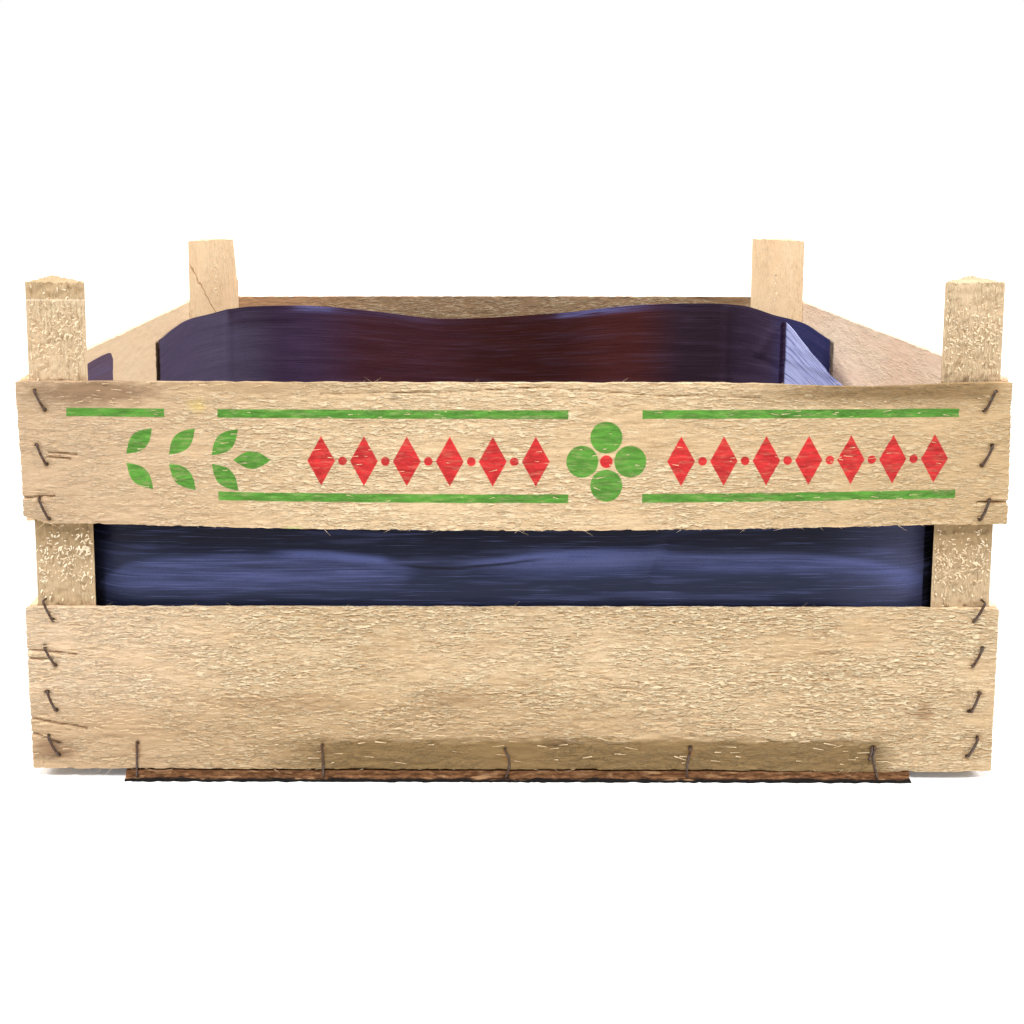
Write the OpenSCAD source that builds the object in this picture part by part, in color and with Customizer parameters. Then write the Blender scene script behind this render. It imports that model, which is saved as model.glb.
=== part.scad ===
// A slatted produce crate: three-sided corner posts, thin veneer slats, a hardboard bottom,
// wire staples and a dark paper liner in two sheets.
// Millimetres. +Z is up, the front faces -Y, and the origin is under the middle of the crate.

/* [Crate] */
// Length over the outer faces of the corner posts
post_span_x = 491; // [420:1:560]
// Depth over the outer faces of the corner posts
post_span_y = 294; // [250:1:360]

/* [Corner posts] */
// Leg of the post's right-angled section, along both walls
post_leg = 30; // [26:1:36]
// Height of the posts above the upper slats
post_rise = 49; // [30:1:70]
// Height of the posts' feet above the long slats' lower edge
post_foot_lift = 3; // [1:0.5:5]
// How much narrower the back posts are at the top than at the slats
back_post_taper = 3.4; // [0.4:0.2:6]

/* [Long slats] */
// Thickness of the front and back slats
slat_t = 3; // [2:0.5:4]
// Height of the lower slats
lower_slat_h = 88.4; // [75:0.2:100]
// Clear height between the lower and the upper slats
slat_gap = 43.6; // [30:0.2:55]
// Height of the upper slats
upper_slat_h = 75; // [65:1:90]
// Outward bow of an upper slat's lower edge at mid-length
bow_low = 8.5; // [1:0.5:12]
// Outward bow of an upper slat's upper edge at mid-length
bow_high = 3; // [1:0.5:12]
// Radius of the worn slat corners
slat_corner_r = 2.5; // [1:0.5:5]
// How far the front lower slat stops short at its right end
front_lower_short = 1.6; // [0.2:0.2:3]

/* [End slats] */
// Thickness of the end slats
end_slat_t = 4.5; // [3:0.5:6]

/* [Bottom board] */
// Thickness of the hardboard
board_t = 4.2; // [3:0.1:6]
// Gap between the board and the long slats above it
board_gap = 1.2; // [0.6:0.1:2]
// Length of the notches at the board's left corners
notch_left = 48.2; // [40:0.1:60]
// Length of the notches at the board's right corners
notch_right = 43.3; // [40:0.1:60]
// Depth of the notches at all four corners
notch_depth = 40; // [36:1:60]

/* [Wire staples] */
// Diameter of the staple and stitch wire
wire_d = 1.1; // [0.8:0.1:1.4]
// Length of a staple's crown, between its legs
crown_l = 11; // [9:0.5:13]
// Length of a staple's legs
leg_l = 9; // [7:0.5:11]
// Lean of a staple's crown from upright
crown_lean = 25; // [10:1:35]
// Clearance around the wire in its holes
wire_clear = 0.05; // [0.03:0.01:0.1]
// Distance of the front and back staples from the post's outer face
staple_inset = 6.3; // [5:0.1:8]
// Distance of the end staples from the post's outer face
end_staple_inset = 13; // [12:0.5:15]
// Staples at each end of an upper slat
upper_staples = 3; // [2:1:3]
// Staples at each end of a lower slat
lower_staples = 4; // [2:1:4]
// Middle of the top staple below an upper slat's upper edge
upper_first = 10.7; // [8:0.1:14]
// Middle of the bottom staple above an upper slat's lower edge
upper_last = 7.7; // [7:0.1:14]
// Middle of the top staple below the front lower slat's upper edge
front_lower_first = 2.4; // [1:0.1:14]
// Middle of the top staple below the other lower slats' upper edge
lower_first = 12; // [8:0.1:14]
// Middle of the bottom staple above a lower slat's lower edge
lower_last = 12.8; // [11:0.1:16]

/* [Board stitches] */
// Stitches along the front and the back
long_stitches = 5; // [3:1:6]
// Spacing of the front and back stitches
stitch_pitch = 95.8; // [60:0.2:98]
// How far the front and back stitches sit to the left of the middle
stitch_shift = 4; // [0:0.5:8]
// Stitches along each end
end_stitches = 3; // [2:1:3]
// Spacing of the end stitches
end_stitch_pitch = 80; // [60:1:90]
// Height of a stitch's upper leg above the long slats' lower edge
stitch_rise = 12.6; // [8:0.2:18]
// Height of a stitch's lower leg above the board's underside
stitch_low = 1.6; // [1.2:0.1:2]
// Depth of a stitch's lower leg in the board
stitch_bite = 7; // [4:0.5:10]

/* [Paper liner] */
// Thickness of the paper
paper_t = 0.5; // [0.3:0.1:0.8]
// Clearance between the paper and the walls
paper_gap = 1.5; // [1:0.1:2.5]
// Clearance between the paper's floor and what is under it
floor_gap = 0.1; // [0.05:0.05:0.3]
// Drop of the front sheet's top edge below the upper slats' top
front_sheet_drop = 8; // [4:0.5:20]
// Length of the front sheet's left flap, from the front post face
front_flap_left = 101; // [60:1:130]
// Drop of the folded right flap's top edge where it leaves the wall
folded_drop = 44; // [20:1:60]
// Drop of the folded right flap's tip
tip_drop = 5; // [2:0.5:12]
// How far the folded flap's tip stands in from the post's outer face
tip_inset = 33.5; // [20:0.5:50]
// Length of the folded right flap, from the front post face
tip_reach = 209; // [180:1:230]
// Length of the right flap that still lies along the wall
folded_root = 127; // [100:1:140]
// Height of the folded flap's lower edge above the board
folded_lift = 5; // [3:0.5:20]
// Length of the back sheet's left flap, from the back post face
back_flap_left = 110; // [60:1:130]
// Length of the back sheet's right flap, from the back post face
back_flap_right = 92; // [60:1:100]
// Drop of the back sheet's left flap below the upper slats' top
back_left_drop = 15.5; // [8:0.5:25]
// Drop of the back sheet's right flap below the upper slats' top
back_right_drop = 18.5; // [8:0.5:25]
// Depth of the front sheet's part on the floor, from the front post face
front_floor = 167; // [150:1:180]
// Depth of the back sheet's part on the floor, from the back post face
back_floor = 157; // [140:1:170]

/* [Printed marks] */
// Thickness of the ink fields on the front upper slat
ink_t = 0.2; // [0.1:0.05:0.5]
// Height of the green stripes
stripe_h = 4.4; // [3:0.1:7]
// Middle of the upper stripes below the slat's upper edge
stripe_high = 17; // [10:0.5:22]
// Middle of the lower stripes below the slat's upper edge
stripe_low = 59; // [50:0.5:62]
// Middle of the red border below the slat's upper edge
border_drop = 40.5; // [36:0.5:44]
// Height of a red lozenge
lozenge_h = 25; // [16:0.5:30]
// Width of a red lozenge
lozenge_w = 14; // [8:0.5:17]
// Spacing of the red lozenges
lozenge_pitch = 21.5; // [19:0.5:23]
// Diameter of the red dots between them
dot_d = 4.4; // [2:0.2:6]
// Diameter of one lobe of the green rosette
lobe_d = 16; // [10:0.5:18]
// Length of a green leaf
leaf_l = 19; // [14:0.5:19]
// Width of a green leaf
leaf_w = 9; // [5:0.5:11]

/* [Hidden] */
half_x = post_span_x / 2;
half_y = post_span_y / 2;
length = post_span_x + 2 * end_slat_t;
slat_foot = board_t + board_gap;
lower_top = slat_foot + lower_slat_h;
upper_foot = lower_top + slat_gap;
upper_top = upper_foot + upper_slat_h;
post_foot = slat_foot + post_foot_lift;
post_top = upper_top + post_rise;
bow_half = half_x - post_leg;
bow_steps = 24;
wire_r = wire_d / 2;
crown_dx = crown_l / 2 * sin(crown_lean);
crown_dz = crown_l / 2 * cos(crown_lean);
through = 1;
paper_x = half_x - paper_gap;
paper_y = half_y - paper_gap;
front_floor_z = board_t + floor_gap;
back_floor_z = front_floor_z + paper_t + floor_gap;
tip_top = upper_top - tip_drop;
wire_fn = 24;
// Middle heights of the staples at each end of a slat
upper_rows = rows(upper_top - upper_first, upper_foot + upper_last, upper_staples);
front_lower_rows = rows(lower_top - front_lower_first, slat_foot + lower_last, lower_staples);
lower_rows = rows(lower_top - lower_first, slat_foot + lower_last, lower_staples);
// Wave of the back sheet's top edge: share of the half length, drop below the upper slats' top
back_wave = [[-1, 9], [-0.82, 7.5], [-0.42, 7.5], [-0.15, 18], [0.22, 13.4], [0.5, 6.6], [0.77, 5], [1, 7.5]];
// Printed layout along the slat, as middles and lengths in millimetres from the slat's middle
left_stripe = [-201, 50];
middle_stripe = [-61, 176];
right_stripe = [144, 160];
branch_x = -174;
leaf_pitch = leaf_l * 1.15;
leaf_part = 2.2;
leaf_slant = 45;
leaf_steps = 8;
rosette_x = 46;
lobe_part = 1;
rosette_eye_d = 6.4;
// Middles and counts of the red borders
middle_border_x = -43;
right_border_x = 148;
middle_lozenges = 6;
right_lozenges = 7;

function rows(high, low, count) = [for (i = [0 : count - 1]) high + (low - high) * i / (count - 1)];

// Share of the full bow at a place along the slat
function bow_share(x) = max(0, 1 - pow(x / bow_half, 2));

// Unit normal on the left of the line from a to b
function left_normal(a, b) = let (d = b - a) [-d.y, d.x] / norm(d);

// A corner of the path moved to the left by t, with a mitre
function shifted(p, i, t) =
    i == 0 ? p[0] + t * left_normal(p[0], p[1]) :
    i == len(p) - 1 ? p[i] + t * left_normal(p[i - 1], p[i]) :
    let (m = left_normal(p[i - 1], p[i]), n = left_normal(p[i], p[i + 1]))
    p[i] + t * (m + n) / (1 + m * n);

// Outline of a strip of paper standing on a path seen from above
function strip(p, t) = concat(p, [for (i = [len(p) - 1 : -1 : 0]) shifted(p, i, t)]);

module on_front() { translate([0, -half_y - slat_t, 0]) children(); }
module on_back() { rotate([0, 0, 180]) on_front() children(); }
module on_left() { rotate([0, 0, -90]) translate([0, -half_x - end_slat_t, 0]) children(); }
module on_right() { rotate([0, 0, 90]) translate([0, -half_x - end_slat_t, 0]) children(); }

// Stands a flat outline up in a wall, from its outer face inwards
module stood(thick) { translate([0, thick, 0]) rotate([90, 0, 0]) linear_extrude(thick) children(); }

// Outline of a slat with worn corners
module slat_outline(x0, x1, z0, z1) {
    r = slat_corner_r;
    translate([x0 + r, z0]) square([x1 - x0 - 2 * r, z1 - z0]);
    translate([x0, z0 + r]) square([x1 - x0, z1 - z0 - 2 * r]);
    for (x = [x0 + r, x1 - r], z = [z0 + r, z1 - r]) {
        translate([x, z]) circle(r, $fn = 32);
    }
}

// A layer of the bowed upper slat, from one depth to another behind its outer face
module bowed_layer(from, to) {
    xs = concat([-length / 2], [for (i = [0 : bow_steps]) bow_half * (2 * i / bow_steps - 1)], [length / 2]);
    points = [for (x = xs) let (s = bow_share(x)) each [
        [x, from - s * bow_low, upper_foot], [x, from - s * bow_high, upper_top],
        [x, to - s * bow_high, upper_top], [x, to - s * bow_low, upper_foot]
    ]];
    last = 4 * (len(xs) - 1);
    // Both faces split their panels along the same diagonal, so that layers lie flush
    sides = [for (i = [0 : len(xs) - 2], k = [0 : 3]) let (a = 4 * i + k, b = 4 * i + (k + 1) % 4)
        each k == 2 ? [[a, b, a + 4], [b, b + 4, a + 4]] : [[a, b, b + 4], [a, b + 4, a + 4]]];
    ends = [[3, 2, 1, 0], [last, last + 1, last + 2, last + 3]];
    polyhedron(points, concat(sides, ends));
}

// One staple in a wall whose outer face is at y = 0, its top leaning to side
module staple(side, grow = 0) {
    r = wire_r + grow;
    seat = wire_r + wire_clear;
    for (s = [-1, 1]) {
        translate([s * side * crown_dx, -seat, s * crown_dz])
            rotate([-90, 0, 0]) cylinder(r = r, h = leg_l + seat, $fn = wire_fn);
    }
    if (grow == 0) {
        translate([0, -seat, 0]) rotate([0, side * crown_lean, 0])
            cylinder(r = wire_r * 1.02, h = crown_l + wire_d, center = true, $fn = wire_fn);
    }
}

// The staples at one end of a slat
module staple_column(span, inset, side, heights, grow = 0) {
    for (z = heights) {
        translate([side * (span / 2 - inset), 0, z]) staple(side, grow);
    }
}

module staple_columns(span, inset, heights, grow = 0) {
    for (side = [-1, 1]) {
        staple_column(span, inset, side, heights, grow);
    }
}

// A wire stitch that ties the board to the slat above it
module stitch(thick, grow = 0) {
    r = wire_r + grow;
    seat = wire_r + wire_clear;
    high = slat_foot + stitch_rise;
    translate([0, -seat, high]) rotate([-90, 0, 0]) cylinder(r = r, h = thick + seat + grow, $fn = wire_fn);
    translate([0, -seat, stitch_low]) rotate([-90, 0, 0]) cylinder(r = r, h = stitch_bite + seat, $fn = wire_fn);
    if (grow == 0) {
        translate([0, -seat, stitch_low - wire_r]) cylinder(r = wire_r * 1.02, h = high - stitch_low + wire_d, $fn = wire_fn);
    }
}

module stitch_line(count, pitch, shift, thick, grow = 0) {
    for (i = [0 : count - 1]) {
        translate([(i - (count - 1) / 2) * pitch - shift, 0, 0]) stitch(thick, grow);
    }
}

module long_stitch_line(grow = 0) { stitch_line(long_stitches, stitch_pitch, stitch_shift, slat_t, grow); }
module end_stitch_line(grow = 0) { stitch_line(end_stitches, end_stitch_pitch, 0, end_slat_t, grow); }

// A corner post: sx and sy are the signs of its corner
module post(sx, sy, taper) {
    side_long = sy < 0 ? sx : -sx;
    side_end = sx < 0 ? -sy : sy;
    first_rows = sy < 0 ? front_lower_rows : lower_rows;
    difference() {
        translate([0, 0, post_foot]) linear_extrude(post_top - post_foot) polygon([
            [sx * half_x, sy * half_y],
            [sx * (half_x - post_leg), sy * half_y],
            [sx * half_x, sy * (half_y - post_leg)]
        ]);
        if (taper > 0) {
            // The wedge planed off the inner edge above the slats
            translate([0, sy * half_y, 0]) rotate([90, 0, 0])
                translate([0, 0, -post_leg * 2]) linear_extrude(post_leg * 4) polygon([
                    [sx * (half_x - post_leg), upper_top],
                    [sx * (half_x - post_leg + taper), post_top + through],
                    [sx * (half_x - post_leg - taper), post_top + through]
                ]);
        }
        if (sy < 0) {
            on_front() staple_column(post_span_x, staple_inset, side_long, concat(upper_rows, first_rows), wire_clear);
        } else {
            on_back() staple_column(post_span_x, staple_inset, side_long, concat(upper_rows, first_rows), wire_clear);
        }
        if (sx < 0) {
            on_left() staple_column(post_span_y, end_staple_inset, side_end, concat(upper_rows, lower_rows), wire_clear);
        } else {
            on_right() staple_column(post_span_y, end_staple_inset, side_end, concat(upper_rows, lower_rows), wire_clear);
        }
    }
}

// The bowed upper slat of the front or the back, in its wall's own place
module long_slat_upper() {
    difference() {
        intersection() {
            bowed_layer(0, slat_t);
            translate([0, -bow_low - through, 0]) stood(slat_t + bow_low + 2 * through)
                slat_outline(-length / 2, length / 2, upper_foot, upper_top);
        }
        staple_columns(post_span_x, staple_inset, upper_rows, wire_clear);
    }
}

// A straight lower slat: short is what its right end lacks
module long_slat_lower(short, heights) {
    difference() {
        stood(slat_t) slat_outline(-length / 2, length / 2 - short, slat_foot, lower_top);
        staple_columns(post_span_x, staple_inset, heights, wire_clear);
        long_stitch_line(wire_clear);
    }
}

module end_slat(z0, z1, heights) {
    stood_span = post_span_y / 2;
    difference() {
        stood(end_slat_t) translate([-stood_span, z0]) square([post_span_y, z1 - z0]);
        staple_columns(post_span_y, end_staple_inset, heights, wire_clear);
        end_stitch_line(wire_clear);
    }
}

// Hardboard with a notch at each corner, flush with the slats' outer faces
module board() {
    edge_x = length / 2;
    edge_y = half_y + slat_t;
    difference() {
        linear_extrude(board_t) polygon([
            [-edge_x + notch_left, -edge_y], [edge_x - notch_right, -edge_y],
            [edge_x - notch_right, -edge_y + notch_depth], [edge_x, -edge_y + notch_depth],
            [edge_x, edge_y - notch_depth], [edge_x - notch_right, edge_y - notch_depth],
            [edge_x - notch_right, edge_y], [-edge_x + notch_left, edge_y],
            [-edge_x + notch_left, edge_y - notch_depth], [-edge_x, edge_y - notch_depth],
            [-edge_x, -edge_y + notch_depth], [-edge_x + notch_left, -edge_y + notch_depth]
        ]);
        on_front() long_stitch_line(wire_clear);
        on_back() long_stitch_line(wire_clear);
        on_left() end_stitch_line(wire_clear);
        on_right() end_stitch_line(wire_clear);
    }
}

// The front sheet: a wall along the front, a flat flap at the left, a folded one at the right
module liner_front() {
    flap_y = front_flap_left - half_y;
    root_y = folded_root - half_y;
    wall = [
        [-paper_x, flap_y], [-paper_x, -paper_y + post_leg], [-paper_x + post_leg, -paper_y],
        [paper_x - post_leg, -paper_y], [paper_x, -paper_y + post_leg], [paper_x, root_y],
        [half_x - tip_inset, tip_reach - half_y]
    ];
    floor_y = front_floor - half_y;
    cut_y = post_leg - half_y;
    sheet_top = upper_top - front_sheet_drop;
    fold_top = upper_top - folded_drop;
    translate([0, 0, front_floor_z]) linear_extrude(paper_t) polygon([
        [-paper_x, floor_y], [-paper_x, -paper_y + post_leg], [-paper_x + post_leg, -paper_y],
        [paper_x - post_leg, -paper_y], [paper_x, -paper_y + post_leg], [paper_x, root_y],
        [paper_x - tip_inset, root_y], [paper_x - tip_inset, floor_y]
    ]);
    difference() {
        translate([0, 0, front_floor_z]) linear_extrude(tip_top - front_floor_z) polygon(strip(wall, paper_t));
        // The level top edge of the front and the left flap
        translate([-half_x, -half_y, sheet_top]) cube([post_span_x - 2 * tip_inset, post_span_y, tip_top]);
        // The sloping top edge of the folded flap
        translate([half_x + through, 0, 0]) rotate([0, -90, 0]) linear_extrude(2 * tip_inset + 2 * through) polygon([
            [fold_top, -half_y], [fold_top, root_y], [tip_top, tip_reach - half_y],
            [tip_top + through, tip_reach - half_y], [tip_top + through, -half_y]
        ]);
        // The free lower edge of the folded flap
        translate([half_x - 2 * tip_inset, root_y, 0])
            cube([2 * tip_inset, post_span_y, board_t + folded_lift]);
    }
}

// The back sheet: a wall along the back with a wavy top edge and a flap at each end
module liner_back() {
    wall = [
        [paper_x, half_y - back_flap_right], [paper_x, paper_y - post_leg], [paper_x - post_leg, paper_y],
        [-paper_x + post_leg, paper_y], [-paper_x, paper_y - post_leg], [-paper_x, half_y - back_flap_left]
    ];
    floor_y = half_y - back_floor;
    floor_x = half_x - 2 * tip_inset;
    free_y = tip_reach + through - half_y;
    wave = [for (w = back_wave) [w[0] * half_x, upper_top - w[1]]];
    translate([0, 0, back_floor_z]) linear_extrude(paper_t) polygon([
        [paper_x, free_y], [paper_x, paper_y - post_leg], [paper_x - post_leg, paper_y],
        [-paper_x + post_leg, paper_y], [-paper_x, paper_y - post_leg], [-paper_x, floor_y],
        [floor_x, floor_y], [floor_x, free_y]
    ]);
    difference() {
        translate([0, 0, back_floor_z]) linear_extrude(upper_top - back_floor_z) polygon(strip(wall, paper_t));
        translate([0, half_y, 0]) rotate([90, 0, 0]) linear_extrude(post_leg + paper_gap)
            polygon(concat(wave, [[half_x, upper_top + through], [-half_x, upper_top + through]]));
        translate([-half_x, half_y - back_flap_left - through, upper_top - back_left_drop])
            cube([post_leg, back_flap_left - post_leg, upper_top]);
        translate([half_x - post_leg, half_y - back_flap_right - through, upper_top - back_right_drop])
            cube([post_leg, back_flap_right - post_leg, upper_top]);
    }
}

// Ink on the front upper slat: a thin layer over its outer face, cut to a flat design
module ink() {
    on_front() intersection() {
        bowed_layer(-ink_t, 0);
        translate([0, -bow_low - through, 0]) stood(bow_low + 2 * through) translate([0, upper_top]) children();
    }
}

module stripe(place, drop) {
    translate([place[0] - place[1] / 2, -drop - stripe_h / 2]) square([place[1], stripe_h]);
}

// A pointed leaf from its foot to its tip
module leaf(turn) {
    upper = [for (i = [0 : leaf_steps]) [leaf_l * i / leaf_steps, leaf_w / 2 * sin(180 * i / leaf_steps)]];
    lower = [for (i = [leaf_steps - 1 : -1 : 1]) [upper[i].x, -upper[i].y]];
    rotate([0, 0, turn]) polygon(concat(upper, lower));
}

// A leafy branch: a row of slanted leaf pairs
module branch() {
    for (i = [-1, 0, 1], s = [-1, 1]) {
        translate([i * leaf_pitch, s * leaf_part]) leaf(s * leaf_slant);
    }
    translate([1.5 * leaf_pitch, 0]) leaf(0);
}

// A rosette of four lobes
module rosette() {
    for (a = [0 : 90 : 270]) {
        rotate([0, 0, a]) translate([(lobe_d + lobe_part) * sqrt(0.5), 0]) circle(d = lobe_d, $fn = 48);
    }
}

module green_marks() {
    stripe(left_stripe, stripe_high);
    stripe(middle_stripe, stripe_high);
    stripe(right_stripe, stripe_high);
    stripe(middle_stripe, stripe_low);
    stripe(right_stripe, stripe_low);
    translate([branch_x, -border_drop]) branch();
    translate([rosette_x, -border_drop]) rosette();
}

// A border of lozenges with a dot between each two
module lozenge_row(middle, count) {
    for (i = [0 : count - 1]) {
        translate([middle + (i - (count - 1) / 2) * lozenge_pitch, -border_drop]) polygon([
            [-lozenge_w / 2, 0], [0, -lozenge_h / 2], [lozenge_w / 2, 0], [0, lozenge_h / 2]
        ]);
    }
    for (i = [1 : count - 1]) {
        translate([middle + (i - count / 2) * lozenge_pitch, -border_drop]) circle(d = dot_d, $fn = 24);
    }
}

module red_marks() {
    lozenge_row(middle_border_x, middle_lozenges);
    lozenge_row(right_border_x, right_lozenges);
    translate([rosette_x, -border_drop]) circle(d = rosette_eye_d, $fn = 32);
}

module post_front_left() { color([0.80, 0.71, 0.56]) post(-1, -1, 0); }
module post_front_right() { color([0.80, 0.71, 0.56]) post(1, -1, 0); }
module post_back_left() { color([0.97, 0.81, 0.66]) post(-1, 1, back_post_taper); }
module post_back_right() { color([0.97, 0.81, 0.66]) post(1, 1, back_post_taper); }
module front_slat_upper() { color([0.85, 0.75, 0.60]) on_front() long_slat_upper(); }
module front_slat_lower() { color([0.84, 0.74, 0.58]) on_front() long_slat_lower(front_lower_short, front_lower_rows); }
module back_slat_upper() { color([0.86, 0.76, 0.61]) on_back() long_slat_upper(); }
module back_slat_lower() { color([0.85, 0.75, 0.60]) on_back() long_slat_lower(0, lower_rows); }
module left_slat_upper() { color([0.98, 0.82, 0.66]) on_left() end_slat(upper_foot, upper_top, upper_rows); }
module left_slat_lower() { color([0.95, 0.80, 0.65]) on_left() end_slat(board_t, lower_top, lower_rows); }
module right_slat_upper() { color([0.97, 0.83, 0.72]) on_right() end_slat(upper_foot, upper_top, upper_rows); }
module right_slat_lower() { color([0.95, 0.80, 0.67]) on_right() end_slat(board_t, lower_top, lower_rows); }
module bottom_board() { color([0.43, 0.31, 0.24]) board(); }
module liner_front_sheet() { color([0.20, 0.22, 0.36]) liner_front(); }
module liner_back_sheet() { color([0.27, 0.20, 0.30]) liner_back(); }
module wire_color() { color([0.36, 0.33, 0.31]) children(); }
module staples_front_upper() { wire_color() on_front() staple_columns(post_span_x, staple_inset, upper_rows); }
module staples_front_lower() { wire_color() on_front() staple_columns(post_span_x, staple_inset, front_lower_rows); }
module staples_back_upper() { wire_color() on_back() staple_columns(post_span_x, staple_inset, upper_rows); }
module staples_back_lower() { wire_color() on_back() staple_columns(post_span_x, staple_inset, lower_rows); }
module staples_left_upper() { wire_color() on_left() staple_columns(post_span_y, end_staple_inset, upper_rows); }
module staples_left_lower() { wire_color() on_left() staple_columns(post_span_y, end_staple_inset, lower_rows); }
module staples_right_upper() { wire_color() on_right() staple_columns(post_span_y, end_staple_inset, upper_rows); }
module staples_right_lower() { wire_color() on_right() staple_columns(post_span_y, end_staple_inset, lower_rows); }
module stitches_front() { wire_color() on_front() long_stitch_line(); }
module stitches_back() { wire_color() on_back() long_stitch_line(); }
module stitches_left() { wire_color() on_left() end_stitch_line(); }
module stitches_right() { wire_color() on_right() end_stitch_line(); }
module print_green() { color([0.33, 0.62, 0.24]) ink() green_marks(); }
module print_red() { color([0.82, 0.20, 0.20]) ink() red_marks(); }

post_front_left();
post_front_right();
post_back_left();
post_back_right();
front_slat_upper();
front_slat_lower();
back_slat_upper();
back_slat_lower();
left_slat_upper();
left_slat_lower();
right_slat_upper();
right_slat_lower();
bottom_board();
liner_front_sheet();
liner_back_sheet();
staples_front_upper();
staples_front_lower();
staples_back_upper();
staples_back_lower();
staples_left_upper();
staples_left_lower();
staples_right_upper();
staples_right_lower();
stitches_front();
stitches_back();
stitches_left();
stitches_right();
print_green();
print_red();
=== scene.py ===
# %% [markdown]
# # A slatted crate with a paper liner
# A light produce crate is four three-sided posts, thin slats peeled from a poplar log, a hardboard
# bottom and some bent wire. Its charm is in its roughness: torn grain, frayed edges, lifted fibres and
# a dark paper liner that never lies flat. The crate's frame gives every size, so each piece here is
# made where it sits, in metres, and only its surface is our own work.

# %% Load the crate's frame
import math
import random

import bmesh
import bpy
from mathutils import Euler, Matrix, Vector


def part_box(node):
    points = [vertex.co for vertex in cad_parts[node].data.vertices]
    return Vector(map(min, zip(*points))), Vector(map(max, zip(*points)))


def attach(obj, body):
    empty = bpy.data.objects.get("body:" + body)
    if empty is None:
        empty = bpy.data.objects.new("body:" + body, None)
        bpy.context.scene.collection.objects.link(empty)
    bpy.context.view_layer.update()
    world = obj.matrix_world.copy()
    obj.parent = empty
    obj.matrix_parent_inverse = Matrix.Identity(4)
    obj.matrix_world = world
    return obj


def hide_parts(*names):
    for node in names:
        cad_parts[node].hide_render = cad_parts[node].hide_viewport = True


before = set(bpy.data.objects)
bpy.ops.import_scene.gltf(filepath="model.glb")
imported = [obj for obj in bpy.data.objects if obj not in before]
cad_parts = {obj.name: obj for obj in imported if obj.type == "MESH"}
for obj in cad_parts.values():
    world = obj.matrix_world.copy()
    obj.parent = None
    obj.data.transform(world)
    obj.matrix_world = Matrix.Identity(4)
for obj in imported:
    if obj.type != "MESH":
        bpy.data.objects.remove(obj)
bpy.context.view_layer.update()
bpy.ops.object.select_all(action="DESELECT")
print("nodes in the frame:", len(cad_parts))

# %% [markdown]
# ## Sizes
# Each size comes from the box of a node in the frame. Only what a box can't tell, such as how far the
# upper slats bow at their upper edge, is a value of our own.

# %% Read the sizes from the frame
MM = 0.001
upper_low, upper_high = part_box("front_slat_upper")
lower_low, lower_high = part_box("front_slat_lower")
end_low, end_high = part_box("left_slat_upper")
end_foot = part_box("left_slat_lower")[0].z
post_low, post_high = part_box("post_front_left")
board_low, board_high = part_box("bottom_board")
front_y = lower_low.y
slat_thick = lower_high.y - lower_low.y
end_thick = end_high.x - end_low.x
post_leg = post_high.x - post_low.x
half_x, half_y = -post_low.x, -post_low.y
upper_foot, upper_top = upper_low.z, upper_high.z
bow_low = front_y - upper_low.y
bow_high = 3 * MM
bow_half = half_x - post_leg
print("slat thickness in mm:", round(slat_thick / MM, 2), "bow in mm:", round(bow_low / MM, 2))

# %% [markdown]
# ## Short hands
# Blender's operators work on what is selected and active, so the first short hand makes one piece
# both. The second opens it in edit mode with just the faces, edges or corners that a rule names. The
# third adds a modifier and applies it, and the fourth weights a piece's points by a rule of their
# place, as a painter of weights would by hand.


# %% Select, modify and weigh
def only(piece):
    """Makes one piece the selected and active object."""
    bpy.ops.object.select_all(action="DESELECT")
    piece.select_set(True)
    bpy.context.view_layer.objects.active = piece


def pick(piece, kind, rule):
    """Opens a piece in edit mode with only the parts selected that a rule names."""
    only(piece)
    bpy.ops.object.mode_set(mode="EDIT")
    bpy.ops.mesh.select_mode(type=kind)
    bpy.ops.mesh.select_all(action="DESELECT")
    mesh = bmesh.from_edit_mesh(piece.data)
    for part in {"VERT": mesh.verts, "EDGE": mesh.edges, "FACE": mesh.faces}[kind]:
        if rule(part):
            part.select_set(True)
    mesh.select_flush_mode()
    bmesh.update_edit_mesh(piece.data)


def leave():
    bpy.ops.object.mode_set(mode="OBJECT")


def modify(piece, kind, **settings):
    """Adds one modifier to a piece and applies it."""
    only(piece)
    change = piece.modifiers.new(kind.lower(), kind)
    for name, value in settings.items():
        setattr(change, name, value)
    bpy.ops.object.modifier_apply(modifier=change.name)


def weigh(piece, name, rule):
    """A group of points whose weights, from 0 to 1, follow a rule of their place."""
    group = piece.vertex_groups.new(name=name)
    for vertex in piece.data.vertices:
        share = rule(vertex.co)
        if share > 0.002:
            group.add([vertex.index], min(share, 1.0), "REPLACE")
    return group.name


def push(piece, axis, depth, rule, **texture):
    """Moves a piece's points along an axis, as far as a rule of their place says."""
    group = weigh(piece, "push", rule)
    modify(piece, "DISPLACE", direction=axis, strength=depth, mid_level=0, vertex_group=group, **texture)
    piece.vertex_groups.remove(piece.vertex_groups[group])


def hump(distance, reach):
    """A soft bump: 1 at no distance, and nearly 0 past twice the reach."""
    return math.exp(-((distance / reach) ** 2))


def rise(value, low, high):
    """Goes smoothly from 0 at low to 1 at high."""
    share = max(0.0, min(1.0, (value - low) / (high - low)))
    return share * share * (3 - 2 * share)


# %% [markdown]
# Wood is rough along its grain in long streaks and across it in short steps. A cloud texture gives
# both when an empty stretches its coordinates. Its colour ramp says how much of the cloud is left:
# a narrow ramp makes separate torn pits, a wide one soft ridges.


# %% Grain for displacement
guides = []


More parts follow.
